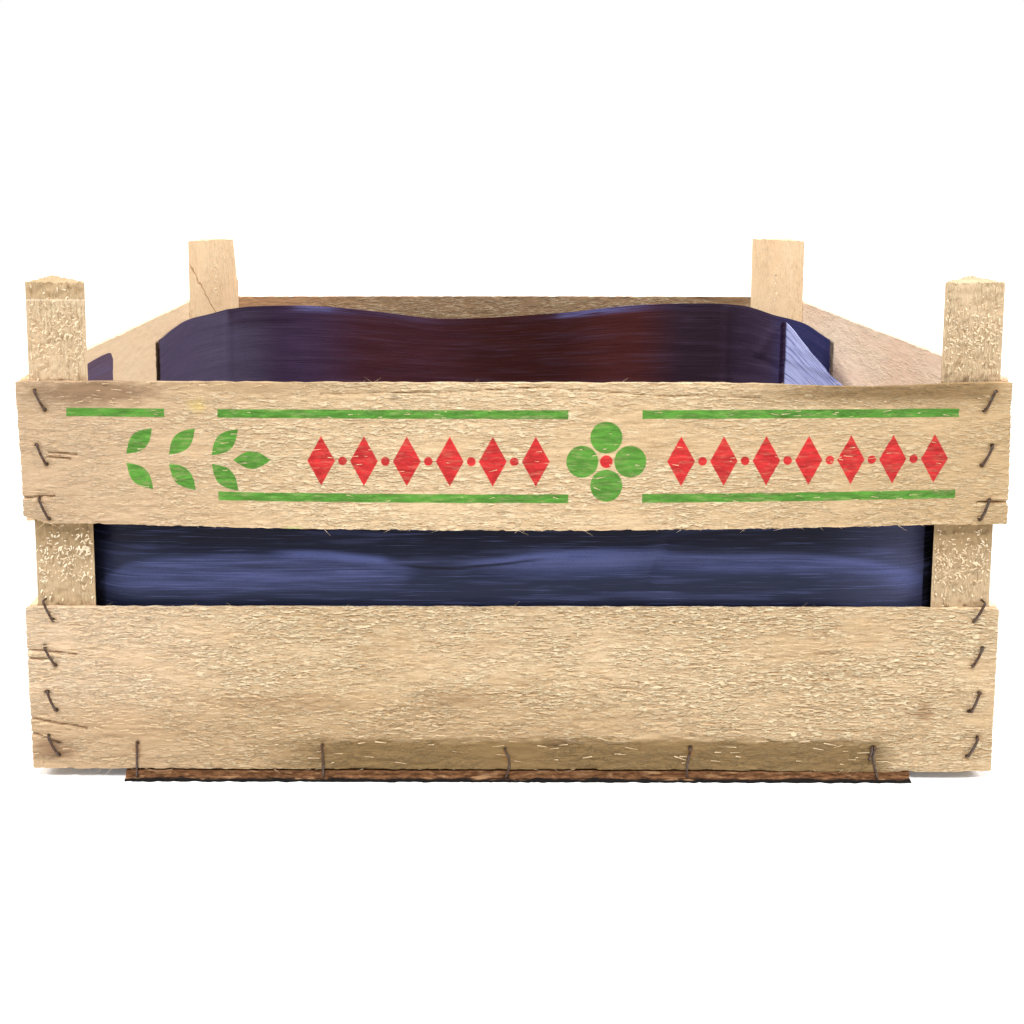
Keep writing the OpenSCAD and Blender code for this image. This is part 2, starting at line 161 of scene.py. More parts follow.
def grain(size, stretch=1.0, low=0.3, high=0.7, along="X", shift=0.0):
    """Settings that make a displacement follow a cloud texture, stretched along the grain."""
    texture = bpy.data.textures.new("grain", "CLOUDS")
    texture.noise_scale = 1
    texture.noise_depth = 2
    texture.use_color_ramp = True
    texture.color_ramp.elements[0].position = low
    texture.color_ramp.elements[1].position = high
    bpy.ops.object.empty_add(location=(shift, shift, shift))
    guide = bpy.context.object
    guide.scale = [size * (stretch if axis == along else 1) for axis in "XYZ"]
    guides.append(guide)
    bpy.context.view_layer.update()
    return {"texture": texture, "texture_coords": "OBJECT", "texture_coords_object": guide}


def crate_piece(piece, slot, *nodes):
    """Hands a finished piece to the frame, which then hides the nodes that it stands for."""
    only(piece)
    bpy.ops.object.shade_smooth_by_angle(angle=math.radians(50))
    piece.vertex_groups.clear()
    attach(piece, "root")
    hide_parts(*nodes)
    print(piece.name, "faces:", len(piece.data.polygons))
    return piece


# %% [markdown]
# ## Slats
# A slat is a sheet of wood 3 or 4.5 mm thick. It could be a cube with a bump map, but then its edges
# and its torn grain would stay straight against the light. So a grid is stood upright, thickened with
# Solidify, and only the faces that show are cut fine enough to carry real relief.


# %% A slat blank
def slat_blank(name, low, high, cell, cuts, corner=2.5 * MM, sides=(-1,)):
    """A slat standing in the front wall. Its listed sides, -1 outside and 1 inside, are cut finer."""
    length, height = high.x - low.x, high.z - low.z
    middle = ((low.x + high.x) / 2, low.y, (low.z + high.z) / 2)
    bpy.ops.mesh.primitive_grid_add(
        x_subdivisions=round(length / cell), y_subdivisions=round(height / cell), size=1,
        location=middle, rotation=(math.radians(90), 0, 0))
    piece = bpy.context.object
    piece.name = name
    piece.scale = (length, height, 1)
    bpy.ops.object.transform_apply(location=True, rotation=True, scale=True)
    near = 0.1 * MM
    pick(piece, "VERT", lambda v: min(v.co.x - low.x, high.x - v.co.x) < near
         and min(v.co.z - low.z, high.z - v.co.z) < near)
    bpy.ops.mesh.bevel(offset=corner, affect="VERTICES", segments=4)
    leave()
    modify(piece, "SOLIDIFY", thickness=high.y - low.y, offset=-1)
    for side in sides:
        pick(piece, "FACE", lambda f: f.normal.y * side > 0.5)
        bpy.ops.mesh.subdivide(number_cuts=cuts)
        leave()
    return piece


def tear_faces(piece, low, high, sides=(-1,), roughness=1.0, shift=0.0):
    """Torn grain on a slat's sides: swells, ridges, fine fibres and pits where fibres tore out."""
    for side in sides:
        face_y = low.y if side < 0 else high.y
        on_face = lambda co: 1 - abs(co.y - face_y) / MM
        inward = -side * roughness
        push(piece, "Y", inward * 0.35 * MM, on_face, **grain(24 * MM, 5, 0.2, 0.8, shift=shift))
        push(piece, "Y", inward * 0.35 * MM, on_face, **grain(2.6 * MM, 8, 0.3, 0.7, shift=shift))
        push(piece, "Y", inward * 0.2 * MM, on_face, **grain(1.1 * MM, 14, 0.25, 0.75, shift=shift))
        push(piece, "Y", inward * 0.7 * MM, on_face, **grain(1.7 * MM, 5, 0.53, 0.64, shift=shift + 1))


def fray_edges(piece, low, high, depth, ends):
    """Uneven bites along a slat's long edges and its sawn ends."""
    reach = 1.5 * MM
    push(piece, "Z", -depth, lambda co: 1 - (high.z - co.z) / reach, **grain(1.3 * MM, 4, 0.4, 0.75))
    push(piece, "Z", depth, lambda co: 1 - (co.z - low.z) / reach, **grain(1.3 * MM, 4, 0.4, 0.75, shift=3))
    push(piece, "X", -ends, lambda co: 1 - (high.x - co.x) / reach, **grain(0.9 * MM, 1, 0.4, 0.75))
    push(piece, "X", ends, lambda co: 1 - (co.x - low.x) / reach, **grain(0.9 * MM, 1, 0.4, 0.75, shift=3))


def bow_share(x):
    """Share of the full bow at a place along a long slat."""
    return max(0.0, 1 - (x / bow_half) ** 2)


def bow_out(piece):
    """Bows an upper slat outwards, most at its lower edge."""
    height = upper_top - upper_foot

    def share(co):
        up = (co.z - upper_foot) / height
        return bow_share(co.x) * (bow_low + (bow_high - bow_low) * up) / bow_low

    push(piece, "Y", -bow_low, share)


def split(piece, start, end, width, depth):
    """A crack along the grain: a narrow groove between two points of the front wall."""
    run = Vector(end) - Vector(start)

    def share(co):
        at = Vector((co.x, co.z)) - Vector(start)
        along = max(0.0, min(1.0, at.dot(run) / run.length_squared))
        return hump((at - run * along).length, width) if co.y < front_y + MM else 0

    push(piece, "Y", depth, share)


# %% [markdown]
# The front upper slat bows out by more than 8 mm at its lower edge. Its upper edge curls forward on
# the right, where a shallow dip was chipped out of it, and both ends have short cracks at the staples.

# %% The front upper slat
low = Vector((upper_low.x, front_y, upper_foot))
high = Vector((upper_high.x, front_y + slat_thick, upper_top))
front_upper = slat_blank("front_upper_slat", low, high, 5 * MM, 5, corner=0.8 * MM)
tear_faces(front_upper, low, high, roughness=0.8)
fray_edges(front_upper, low, high, 0.5 * MM, 0.5 * MM)
for start, end in (((-0.251, 0.1511), (-0.234, 0.1515)), ((0.251, 0.1494), (0.236, 0.149)),
                   ((-0.236, 0.1745), (-0.222, 0.1735)), ((-0.236, 0.1722), (-0.225, 0.1712))):
    split(front_upper, start, end, 0.6 * MM, 2 * MM)
for start, end in (((-0.097, 0.2067), (-0.032, 0.2077)), ((-0.032, 0.2077), (0.0127, 0.2103)),
                   ((0.0127, 0.2103), (0.070, 0.2060)), ((0.070, 0.2060), (0.1225, 0.2047))):
    split(front_upper, start, end, 0.4 * MM, 1 * MM)
bow_out(front_upper)
# The dip and the forward curl of the upper edge, and the chamfered corner at the lower left
push(front_upper, "Z", -1.7 * MM, lambda co: hump(co.x - 0.170, 42 * MM) * rise(co.z, 0.203, upper_top))
push(front_upper, "Y", -3 * MM, lambda co: hump(co.x - 0.188, 50 * MM) * rise(co.z, 0.196, upper_top) ** 2)
push(front_upper, "Z", 3.4 * MM, lambda co: rise(-co.x, 0.236, 0.250) * (1 - rise(co.z, upper_foot, 0.150)))
push(front_upper, "X", 1.2 * MM, lambda co: rise(co.x, 0.236, 0.250) * (1 - rise(co.z, 0.15, upper_top)))
push(front_upper, "X", -1.3 * MM, lambda co: rise(-co.x, 0.236, 0.250) * rise(co.z, 0.15, upper_top))
push(front_upper, "Z", -1.2 * MM, lambda co: rise(co.z, 0.17, upper_top))

# %% [markdown]
# The front lower slat is straight, but rougher: whole patches of grain were torn by the peeling knife.
# It sags a little onto the board at the right.

# %% The front lower slat
low, high = lower_low.copy(), lower_high.copy()
front_lower = slat_blank("front_lower_slat", low, high, 5.4 * MM, 5, corner=1 * MM)
tear_faces(front_lower, low, high, roughness=1.2, shift=5)
fray_edges(front_lower, low, high, 0.45 * MM, 0.4 * MM)
for start, end in (((-0.251, 0.0705), (-0.226, 0.0680)), ((-0.251, 0.0655), (-0.238, 0.0650)),
                   ((-0.251, 0.0330), (-0.222, 0.0270)), ((-0.251, 0.0250), (-0.236, 0.0190))):
    split(front_lower, start, end, 0.6 * MM, 1.8 * MM)
push(front_lower, "Z", -1.1 * MM, lambda co: hump(co.x - 0.187, 60 * MM) * (1 - rise(co.z, low.z, 0.05)))
push(front_lower, "X", -1.2 * MM, lambda co: rise(-co.x, 0.236, 0.250) * rise(co.z, -0.04, high.z))
push(front_lower, "X", 1.2 * MM, lambda co: rise(co.x, 0.236, 0.250))
push(front_lower, "Z", -1 * MM, lambda co: rise(co.z, 0.05, high.z))

# %% [markdown]
# The back slats are made in the front wall too and then turned round the crate's middle. They show
# their inner faces over the liner, so both faces are cut, but coarser.


# %% The back and end slats
def turned(piece, degrees):
    """Turns a piece about the crate's upright axis and keeps its place in its mesh."""
    only(piece)
    piece.rotation_euler = (0, 0, math.radians(degrees))
    bpy.ops.object.transform_apply(location=False, rotation=True, scale=False)
    return piece


low = Vector((upper_low.x, front_y, upper_foot))
high = Vector((upper_high.x, front_y + slat_thick, upper_top))
back_upper = slat_blank("back_upper_slat", low, high, 5 * MM, 2, sides=(-1, 1))
tear_faces(back_upper, low, high, sides=(-1, 1), roughness=0.6, shift=9)
fray_edges(back_upper, low, high, 0.5 * MM, 0.4 * MM)
bow_out(back_upper)
turned(back_upper, 180)

low = Vector((upper_low.x, front_y, lower_low.z))
high = Vector((upper_high.x, front_y + slat_thick, lower_high.z))
back_lower = slat_blank("back_lower_slat", low, high, 5.4 * MM, 2, sides=(-1, 1))
tear_faces(back_lower, low, high, sides=(-1, 1), roughness=0.7, shift=13)
fray_edges(back_lower, low, high, 0.5 * MM, 0.4 * MM)
turned(back_lower, 180)

end_slats = {}
for side, degrees in (("left", -90), ("right", 90)):
    for level, foot, top in (("upper", upper_foot, upper_top), ("lower", end_foot, lower_high.z)):
        low = Vector((-half_y, -half_x - end_thick, foot))
        high = Vector((half_y, -half_x, top))
        piece = slat_blank(f"{side}_{level}_slat", low, high, 5 * MM, 2, corner=0.8 * MM, sides=(-1, 1))
        tear_faces(piece, low, high, sides=(-1, 1), roughness=0.45, shift=17 + degrees * 0.01 + foot)
        fray_edges(piece, low, high, 0.6 * MM, 0.1 * MM)
        end_slats[side, level] = turned(piece, degrees)
print("end slats:", len(end_slats))

# %% [markdown]
# ## Corner posts
# A post is sawn from a batten and split along its diagonal. A cube cut by Bisect gives that section,
# and a sharp remesh then spreads even points over it and keeps its edges, so that the saw's rough
# marks can be pushed in. A voxel remesh would round the two thin edges away.


# %% A corner post
def post(name, node, sx, sy, taper):
    """A three-sided post whose right angle stands at the corner with the signs sx and sy."""
    low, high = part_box(node)
    bpy.ops.mesh.primitive_cube_add(size=1, location=(low + high) / 2)
    piece = bpy.context.object
    piece.name = name
    piece.scale = high - low
    bpy.ops.object.transform_apply(location=True, rotation=True, scale=True)
    pick(piece, "FACE", lambda f: True)
    bpy.ops.mesh.bisect(
        plane_co=(sx * half_x, sy * (half_y - post_leg), 0), plane_no=(-sx, -sy, 0),
        use_fill=True, clear_outer=True)
    if taper:
        bpy.ops.mesh.select_all(action="SELECT")
        bpy.ops.mesh.bisect(
            plane_co=(sx * (half_x - post_leg), 0, upper_top),
            plane_no=(-sx * (high.z - upper_top), 0, taper), use_fill=True, clear_outer=True)
    leave()
    depth = 7 if taper else 8
    modify(piece, "REMESH", mode="SHARP", octree_depth=depth, scale=0.99, use_remove_disconnected=False)
    shift = sx * 2 + sy
    thin = lambda co: rise(min(half_x - abs(co.x), abs(co.x) - (half_x - post_leg)), 0, 3 * MM)
    rough = 0.3 if taper else 1.2
    inward = -sy * rough * MM
    push(piece, "Y", 0.5 * inward, thin, **grain(1.6 * MM, 2, 0.35, 0.7, along="Z", shift=shift))
    push(piece, "Y", 0.7 * inward, thin, **grain(3 * MM, 1.5, 0.5, 0.66, along="Z", shift=shift + 7))
    top_edge = lambda co: 1 - (high.z - co.z) / (2 * MM)
    push(piece, "Z", -1.1 * MM, top_edge, **grain(2.2 * MM, 1, 0.4, 0.75, shift=shift))
    if taper:
        inner = half_x - post_leg
        push(piece, "X", -sx * 1.9 * MM, lambda co: 1 - rise(abs(co.x), inner, inner + 20 * MM))
    return piece


posts = {}
for side, sx, back_taper in (("left", -1, 3.4 * MM), ("right", 1, 1.8 * MM)):
    posts["front", side] = post(f"front_{side}_post", f"post_front_{side}", sx, -1, 0)
    posts["back", side] = post(f"back_{side}_post", f"post_back_{side}", sx, 1, back_taper)
print("posts:", len(posts))

# %% [markdown]
# ## Lifted fibres
# Peeled wood sheds small curls. One curl is modelled by extruding a small diamond a few times, a bit
# thinner and higher each time. It is then copied many times, each copy with its own place, length and
# lean, and all copies on one slat are joined into one piece.


# %% One curl and its copies
def curl(name, thick, lift, steps=4):
    """A fibre along +X from its root, as long and wide as 1, that bends up towards +Z."""
    bpy.ops.mesh.primitive_circle_add(
        vertices=4, radius=0.5, fill_type="NGON", rotation=(0, math.radians(90), 0))
    piece = bpy.context.object
    piece.name = name
    bpy.ops.object.transform_apply(location=False, rotation=True, scale=False)
    pick(piece, "FACE", lambda f: True)
    bpy.ops.transform.resize(value=(1, 1, thick), center_override=(0, 0, 0))
    for step in range(steps):
        up = lift * (2 * step + 1) / steps**2
        bpy.ops.mesh.extrude_region_move(TRANSFORM_OT_translate={"value": (1 / steps, 0, up)})
        tip = (0, 0, lift * ((step + 1) / steps) ** 2)
        bpy.ops.transform.resize(value=(1, 0.72, 0.8), center_override=tip)
    bpy.ops.mesh.select_all(action="SELECT")
    bpy.ops.mesh.normals_make_consistent(inside=False)
    leave()
    return piece


def scattered(name, pattern, copies):
    """Copies of a pattern as one piece. Each copy is a place, a turn and a size."""
    mesh = bmesh.new()
    for place, turn, size in copies:
        copy = pattern.data.copy()
        copy.transform(Matrix.LocRotScale(Vector(place), turn, Vector(size)))
        mesh.from_mesh(copy)
        bpy.data.meshes.remove(copy)
    made = bpy.data.meshes.new(name)
    mesh.to_mesh(made)
    mesh.free()
    piece = bpy.data.objects.new(name, made)
    bpy.context.scene.collection.objects.link(piece)
    return piece


def lean(out, tilt):
    """The turn of a fibre on the front wall: out of the wall, and tilted in it."""
    stand = Euler((math.radians(90), 0, 0)).to_matrix()
    tilted = Matrix.Rotation(math.radians(tilt), 3, "Y")
    lifted = Matrix.Rotation(math.radians(-out), 3, "Y")
    return (tilted @ stand @ lifted).to_quaternion()


hair = curl("hair", 1.0, 0.3, steps=6)
chip = curl("chip", 0.35, 0.1, steps=3)


def bowed_y(x, z):
    """Where the front upper slat's outer face is."""
    up = (z - upper_foot) / (upper_top - upper_foot)
    return front_y - bow_share(x) * (bow_low + (bow_high - bow_low) * up)


def face_chips(dice, count, low, high, face, length, wide):
    """Chips lying on a front slat, thicker in some patches than in others."""
    copies = []
    while len(copies) < count:
        x, z = dice.uniform(low.x, high.x), dice.uniform(low.z, high.z)
        patch = 0.5 + 0.5 * math.sin(x * 61 + 1.3) * math.sin(z * 190 + x * 23)
        if z < 26 * MM or (upper_foot + 12 * MM < z < upper_top - 12 * MM and abs(x) < 0.23):
            patch *= 0.25
        if dice.random() > 0.1 + 0.9 * patch**2:
            continue
        way = dice.choice((0, 180))
        size = dice.uniform(*length) * MM
        breadth = dice.uniform(*wide) * MM
        copies.append(((x, face(x, z) + 0.1 * MM, z), lean(dice.uniform(2, 9), way + dice.gauss(0, 7)),
                       (size, breadth, breadth)))
    return copies


def edge_hairs(dice, count, low_x, high_x, z, upwards, face):
    """Hairs that stand off a front slat's long edge."""
    copies = []
    for _ in range(count):
        x = dice.uniform(low_x, high_x)
        size = min(dice.expovariate(1 / 1.6) + 0.8, 6) * MM
        breadth = dice.uniform(0.14, 0.28) * MM
        tilt = dice.choice((dice.uniform(4, 50), dice.uniform(130, 176)))
        place = (x, face(x, z) + dice.uniform(-0.1, 0.6) * MM, z - upwards * 0.3 * MM)
        copies.append((place, lean(dice.uniform(-5, 12), -upwards * tilt), (size, breadth, breadth)))
    return copies


# %% Fibres on the front slats
dice = random.Random(11)
inset = 6 * MM
low = Vector((upper_low.x + inset, 0, upper_foot + 2 * MM))
high = Vector((upper_high.x - inset, 0, upper_top - 2 * MM))
copies = face_chips(dice, 620, low, high, bowed_y, (1.2, 4.5), (0.25, 0.5))
upper_chips = scattered("front_upper_chips", chip, copies)
copies = edge_hairs(dice, 45, upper_low.x, upper_high.x, upper_top - 1.4 * MM, 1, bowed_y)
copies += edge_hairs(dice, 50, upper_low.x, upper_high.x, upper_foot, -1, bowed_y)
upper_hairs = scattered("front_upper_hairs", hair, copies)

low = Vector((lower_low.x + 2 * MM, 0, lower_low.z + 3 * MM))
high = Vector((lower_high.x - 2 * MM, 0, lower_high.z - 2 * MM))
flat_y = lambda x, z: front_y
copies = face_chips(dice, 1300, low, high, flat_y, (1.5, 6.5), (0.3, 0.8))
lower_chips = scattered("front_lower_chips", chip, copies)
copies = edge_hairs(dice, 80, lower_low.x, lower_high.x, lower_high.z - 1 * MM, 1, flat_y)
copies += edge_hairs(dice, 25, lower_low.x, lower_high.x, lower_low.z, -1, flat_y)
lower_hairs = scattered("front_lower_hairs", hair, copies)

# %% [markdown]
# The end slats are torn where they pass the front posts, so their front ends carry a fringe of fibres.

# %% Fringes on the end slats
fringes = {}
for side, sx in (("left", -1), ("right", 1)):
    copies = []
    for _ in range(70):
        y = front_y + min(dice.expovariate(1 / 14), 90) * MM
        size = min(dice.expovariate(1 / 2) + 1, 5) * MM
        breadth = dice.uniform(0.2, 0.4) * MM
        place = (sx * (half_x + dice.uniform(0, 1) * end_thick), y, upper_top - 0.5 * MM)
        turn = Euler((dice.uniform(-1.2, 1.2), dice.uniform(-1.1, -0.1), dice.uniform(0, 6.3)))
        copies.append((place, turn.to_quaternion(), (size, breadth, breadth)))
    fringes[side] = scattered(f"{side}_fringe", hair, copies)

# %% [markdown]
# The saw left tufts on the posts, most of them half-way up the part that shows. Each post's tufts are
# scattered on its outer face with a bell curve about those heights.

# %% Tufts on the posts
tufts = {}
for (wall, side), piece in posts.items():
    low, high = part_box(f"post_{wall}_{side}")
    copies = []
    show_y = low.y if wall == "front" else low.y + post_leg
    bands = ((0.234, 0.010, 220), (0.117, 0.009, 200)) if wall == "front" else ((0.229, 0.008, 60),)
    for middle, reach, count in bands:
        for _ in range(count):
            x = dice.uniform(low.x + MM, high.x - MM)
            z = min(dice.gauss(middle, reach), high.z - 3 * MM)
            y = show_y + 0.2 * MM
            if wall == "back":
                x = math.copysign(dice.uniform(half_x - 20 * MM, half_x - 3 * MM), x)
                y = low.y + abs(x) - (half_x - post_leg) + 0.4 * MM
            size, breadth = dice.uniform(0.7, 2.2) * MM, dice.uniform(0.6, 1.2) * MM
            turn = lean(dice.uniform(15, 50), dice.uniform(0, 360))
            copies.append(((x, y, z), turn, (size, breadth, breadth)))
    if (wall, side) == ("front", "left"):
        # A big white tuft beside the window
        for tilt in range(0, 360, 24):
            place = (-0.2195 + dice.gauss(0, 0.0015), show_y, 0.1235 + dice.gauss(0, 0.0015))
            copies.append((place, lean(30, tilt), (3 * MM, 1.4 * MM, 1.4 * MM)))
    tufts[wall, side] = scattered(f"{wall}_{side}_tufts", chip, copies)
print("tufts:", len(tufts))

# %% [markdown]
# ## Wire
# Staples and stitches are bent wire. A curve with a round bevel makes the wire, and each sharp corner
# of its path is cut by a small arc, because wire doesn't bend to a point. One staple is modelled, and
# copied to each row.


# %% Bent wire
def rounded(corners, radius, steps=4):
    """A path whose corners are each cut by a small arc."""
    corners = [Vector(c) for c in corners]
    path = [corners[0]]
    for before, corner, after in zip(corners, corners[1:], corners[2:]):
        back, forth = before - corner, after - corner
        start = corner + back.normalized() * min(radius, back.length / 2)
        end = corner + forth.normalized() * min(radius, forth.length / 2)
        for step in range(steps + 1):
            share = step / steps
            path.append(start.lerp(corner, share).lerp(corner.lerp(end, share), share))
    return path + [corners[-1]]


def path_curve(name, points, **settings):
    """A curve of straight steps through the points."""
    curve = bpy.data.curves.new(name, "CURVE")
    curve.dimensions = "3D"
    for setting, value in settings.items():
        setattr(curve, setting, value)
    spline = curve.splines.new("POLY")
    spline.points.add(len(points) - 1)
    for point, place in zip(spline.points, points):
        point.co = (*place, 1)
    piece = bpy.data.objects.new(name, curve)
    bpy.context.scene.collection.objects.link(piece)
    return piece


wire_r = 0.6 * MM


def wire(name, corners, radius=1.0 * MM):
    """A piece of wire along a path with rounded bends."""
    path = rounded(corners, radius)
    piece = path_curve(name, path, bevel_depth=wire_r, bevel_resolution=2, use_fill_caps=True)
    only(piece)
    bpy.ops.object.convert(target="MESH")
    return bpy.context.object


seat = wire_r + 0.05 * MM
crown = 11 * MM
leg = 7 * MM
crown_lean = 25
pressed = 0.25 * MM
staple = wire("staple", [(0, leg, -crown / 2), (0, -pressed, -crown / 2), (0, -seat, 0),
                         (0, -pressed, crown / 2), (0, leg, crown / 2)], 0.9 * MM)
crown_reach_x = (crown / 2 + wire_r) * math.sin(math.radians(crown_lean)) + wire_r * math.cos(
    math.radians(crown_lean))
crown_reach_z = (crown / 2 + wire_r) * math.cos(math.radians(crown_lean)) + wire_r * math.sin(
    math.radians(crown_lean))

# %% [markdown]
# A group's box in the frame gives its outermost staples, and the rest stand evenly between them. Their
# tops lean outwards. Each wall's group is worked out as if in the front wall and then turned there.

# %% The staples of all four walls
walls = {"front": (0, front_y), "back": (180, front_y), "left": (-90, -half_x - end_thick),
         "right": (90, -half_x - end_thick)}
staples, staple_rows = {}, {}
for wall, (degrees, outer) in walls.items():
    for level, count in (("upper", 3), ("lower", 4)):
        low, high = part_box(f"staples_{wall}_{level}")
        reach = high.x if wall in ("front", "back") else high.y
        top, bottom = high.z - crown_reach_z, low.z + crown_reach_z
        if wall == "front":
            staple_rows[level] = (reach - crown_reach_x, bottom, (top - bottom) / (count - 1))
        copies = []
        for side in (-1, 1):
            for row in range(count):
                z = top + (bottom - top) * row / (count - 1)
                turn = Euler((0, math.radians(side * (crown_lean + dice.uniform(-4, 4))), 0)).to_quaternion()
                copies.append(((side * (reach - crown_reach_x), outer, z), turn, (1, 1, 1)))
        group = scattered(f"{wall}_{level}_staples", staple, copies)
        staples[wall, level] = turned(group, degrees)
print("staple groups:", len(staples))

# %% [markdown]
# Each front stitch was bent in its own way when the board was tied on: one has a hook at its top, one
# comes out of a dark hole and doubles back, and the last one is twisted with a second, shorter wire.
# The back and the ends get plain ones.

# %% The stitches
stitch_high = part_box("stitches_front")[1]
front_paths = [
    [(-195.4, 1, 19.4), (-195.4, -0.9, 19.6), (-195.3, -0.7, 17.5), (-195.6, -0.6, 9), (-195.9, -0.6, 1.6),
     (-195.9, 4, 1.6)],
    [(-98.9, 3, 18.4), (-98.9, -0.6, 18.4), (-98.6, -0.7, 11), (-98.3, -0.6, 1.6), (-98.3, 4, 1.6)],
    [(-3.8, 3, 16.6), (-3.6, -0.6, 16.4), (-1.8, -0.7, 12.6), (-1.4, -0.7, 8), (-2.8, -0.6, 3.6),
     (-3.6, -0.6, 1.4), (-3.6, 4, 1.4)],
    [(92.6, 3, 17.4), (92.6, -0.6, 17.2), (91.2, -0.7, 11.6), (90.8, -0.7, 6), (91.4, -0.6, 1.5),
     (91.4, 4, 1.5)],
    [(188.3, 3, 18.2), (188.2, -0.6, 18.0), (187.2, -0.7, 13.3), (188.5, -0.9, 7.3), (190.0, -0.7, 1.4),
     (190.0, 4, 1.4)],
    [(187.0, 3, 18.4), (186.9, -0.6, 18.2), (185.9, -0.7, 14.4), (185.5, -0.6, 11.4), (185.6, 3, 11.2)],
]
parts = [wire("stitch", [(x * MM, front_y + y * MM, z * MM) for x, y, z in path]) for path in front_paths]
bpy.ops.object.select_all(action="DESELECT")
for part in parts:
    part.select_set(True)
bpy.context.view_layer.objects.active = parts[0]
bpy.ops.object.join()
front_stitches = bpy.context.object
front_stitches.name = "front_stitches"

stitches = {}
rise_z = stitch_high.z - wire_r
plain = wire("plain_stitch", [(0, slat_thick, rise_z), (0, -seat, rise_z), (0, -seat, 1.6 * MM),
                              (0, 5 * MM, 1.6 * MM)])
for wall, count, pitch, shift in (("back", 5, 95.8, 4), ("left", 3, 80, 0), ("right", 3, 80, 0)):
    degrees, outer = walls[wall]
    copies = []
    for row in range(count):
        place = (((row - (count - 1) / 2) * pitch - shift) * MM, outer, 0)
        turn = Euler((0, math.radians(dice.uniform(-3, 3)), 0)).to_quaternion()
        copies.append((place, turn, (1, 1, 1)))
    stitches[wall] = turned(scattered(f"{wall}_stitches", plain, copies), degrees)
print("stitch groups:", len(stitches) + 1)

# %% [markdown]
# ## Hardboard bottom
# The board is pressed fibre. Its faces are plain, but its sawn edge is crumbly and shows at the front.
# A grid is cut along the four notches with Bisect, the corners are deleted, and what is left is
# extruded to its thickness.

# %% The board
notch_left, notch_right, notch_deep = 48.2 * MM, 43.3 * MM, 40 * MM
board_size = board_high - board_low
bpy.ops.mesh.primitive_grid_add(x_subdivisions=60, y_subdivisions=36, size=1, location=(0, 0, board_low.z))
board = bpy.context.object
board.name = "hardboard_bottom"
board.scale = (board_size.x, board_size.y, 1)
bpy.ops.object.transform_apply(location=True, rotation=True, scale=True)
notch_x0, notch_x1 = board_low.x + notch_left, board_high.x - notch_right
notch_y = board_high.y - notch_deep
for place, normal in (((notch_x0, 0, 0), (1, 0, 0)), ((notch_x1, 0, 0), (1, 0, 0)),
                      ((0, notch_y, 0), (0, 1, 0)), ((0, -notch_y, 0), (0, 1, 0))):
    pick(board, "FACE", lambda f: True)
    bpy.ops.mesh.bisect(plane_co=place, plane_no=normal)
    leave()


def in_notch(face):
    at = face.calc_center_median()
    return abs(at.y) > notch_y and not notch_x0 < at.x < notch_x1


pick(board, "FACE", in_notch)
bpy.ops.mesh.delete(type="FACE")
leave()
modify(board, "SOLIDIFY", thickness=board_size.z, offset=1)
pick(board, "FACE", lambda f: abs(f.normal.z) < 0.5)
bpy.ops.mesh.subdivide(number_cuts=5)
leave()
front_edge = lambda co: 1 if co.y < board_low.y + 0.1 * MM else 0
front_strip = lambda co: 1 if co.y < board_low.y + 2 * MM else 0
push(board, "Y", 0.9 * MM, front_edge, **grain(1.5 * MM, 4, 0.3, 0.7))
# A lip along the front foot, which the hardboard's material paints near black
push(board, "Y", -2.4 * MM, lambda co: front_strip(co) * (1 - rise(co.z, 0.6 * MM, 1.6 * MM)))
push(board, "X", 0.4 * MM, lambda co: front_strip(co) * rise(co.x, notch_x1 - 9 * MM, notch_x1))

# %% [markdown]
# ## Paper liner
# The liner is two sheets of dark tissue card, each folded up along a long side and round the posts.
# Each starts as a flat strip. Its upper edge is pulled down to a wave and its creases are pressed in
# while it is flat, and a Curve modifier then bends it round the walls. The floor is a second grid.


# %% Bend a strip of paper round the walls
def smooth_line(points, at):
    """The height at a place, on a curve through named points that turns evenly at each of them."""
    slopes = [(after[1] - before[1]) / (after[0] - before[0])
              for before, after in zip(points[:1] + points, points[1:] + points[-1:])]
    for (x0, z0), (x1, z1), slope0, slope1 in zip(points, points[1:], slopes, slopes[1:]):
        if at <= x1:
            gap = x1 - x0
            share = max(0.0, (at - x0) / gap)
            bend = share * (1 - share) * gap
            straight = (z1 - z0) / gap
            turn = (slope0 - straight) * (1 - share) - (slope1 - straight) * share
            return z0 + (z1 - z0) * share + bend * turn
    return points[-1][1]


def crease(co, start, end, width):
    """1 on the line between two places of a flat strip, and 0 a few widths away."""
    a, b = Vector(start) * MM, Vector(end) * MM
    run, at = b - a, Vector((co.x, co.z)) - a
    along = max(0.0, min(1.0, at.dot(run) / run.length_squared))
    return hump((at - run * along).length, width * MM)


def path_length(points):
    return sum((b - a).length for a, b in zip(points, points[1:]))


paper_thick = 0.5 * MM
paper_cell = 3 * MM


def paper_path(corners, radius):
    return rounded([Vector((x * MM, y * MM, 0)) for x, y in corners], radius, 6)


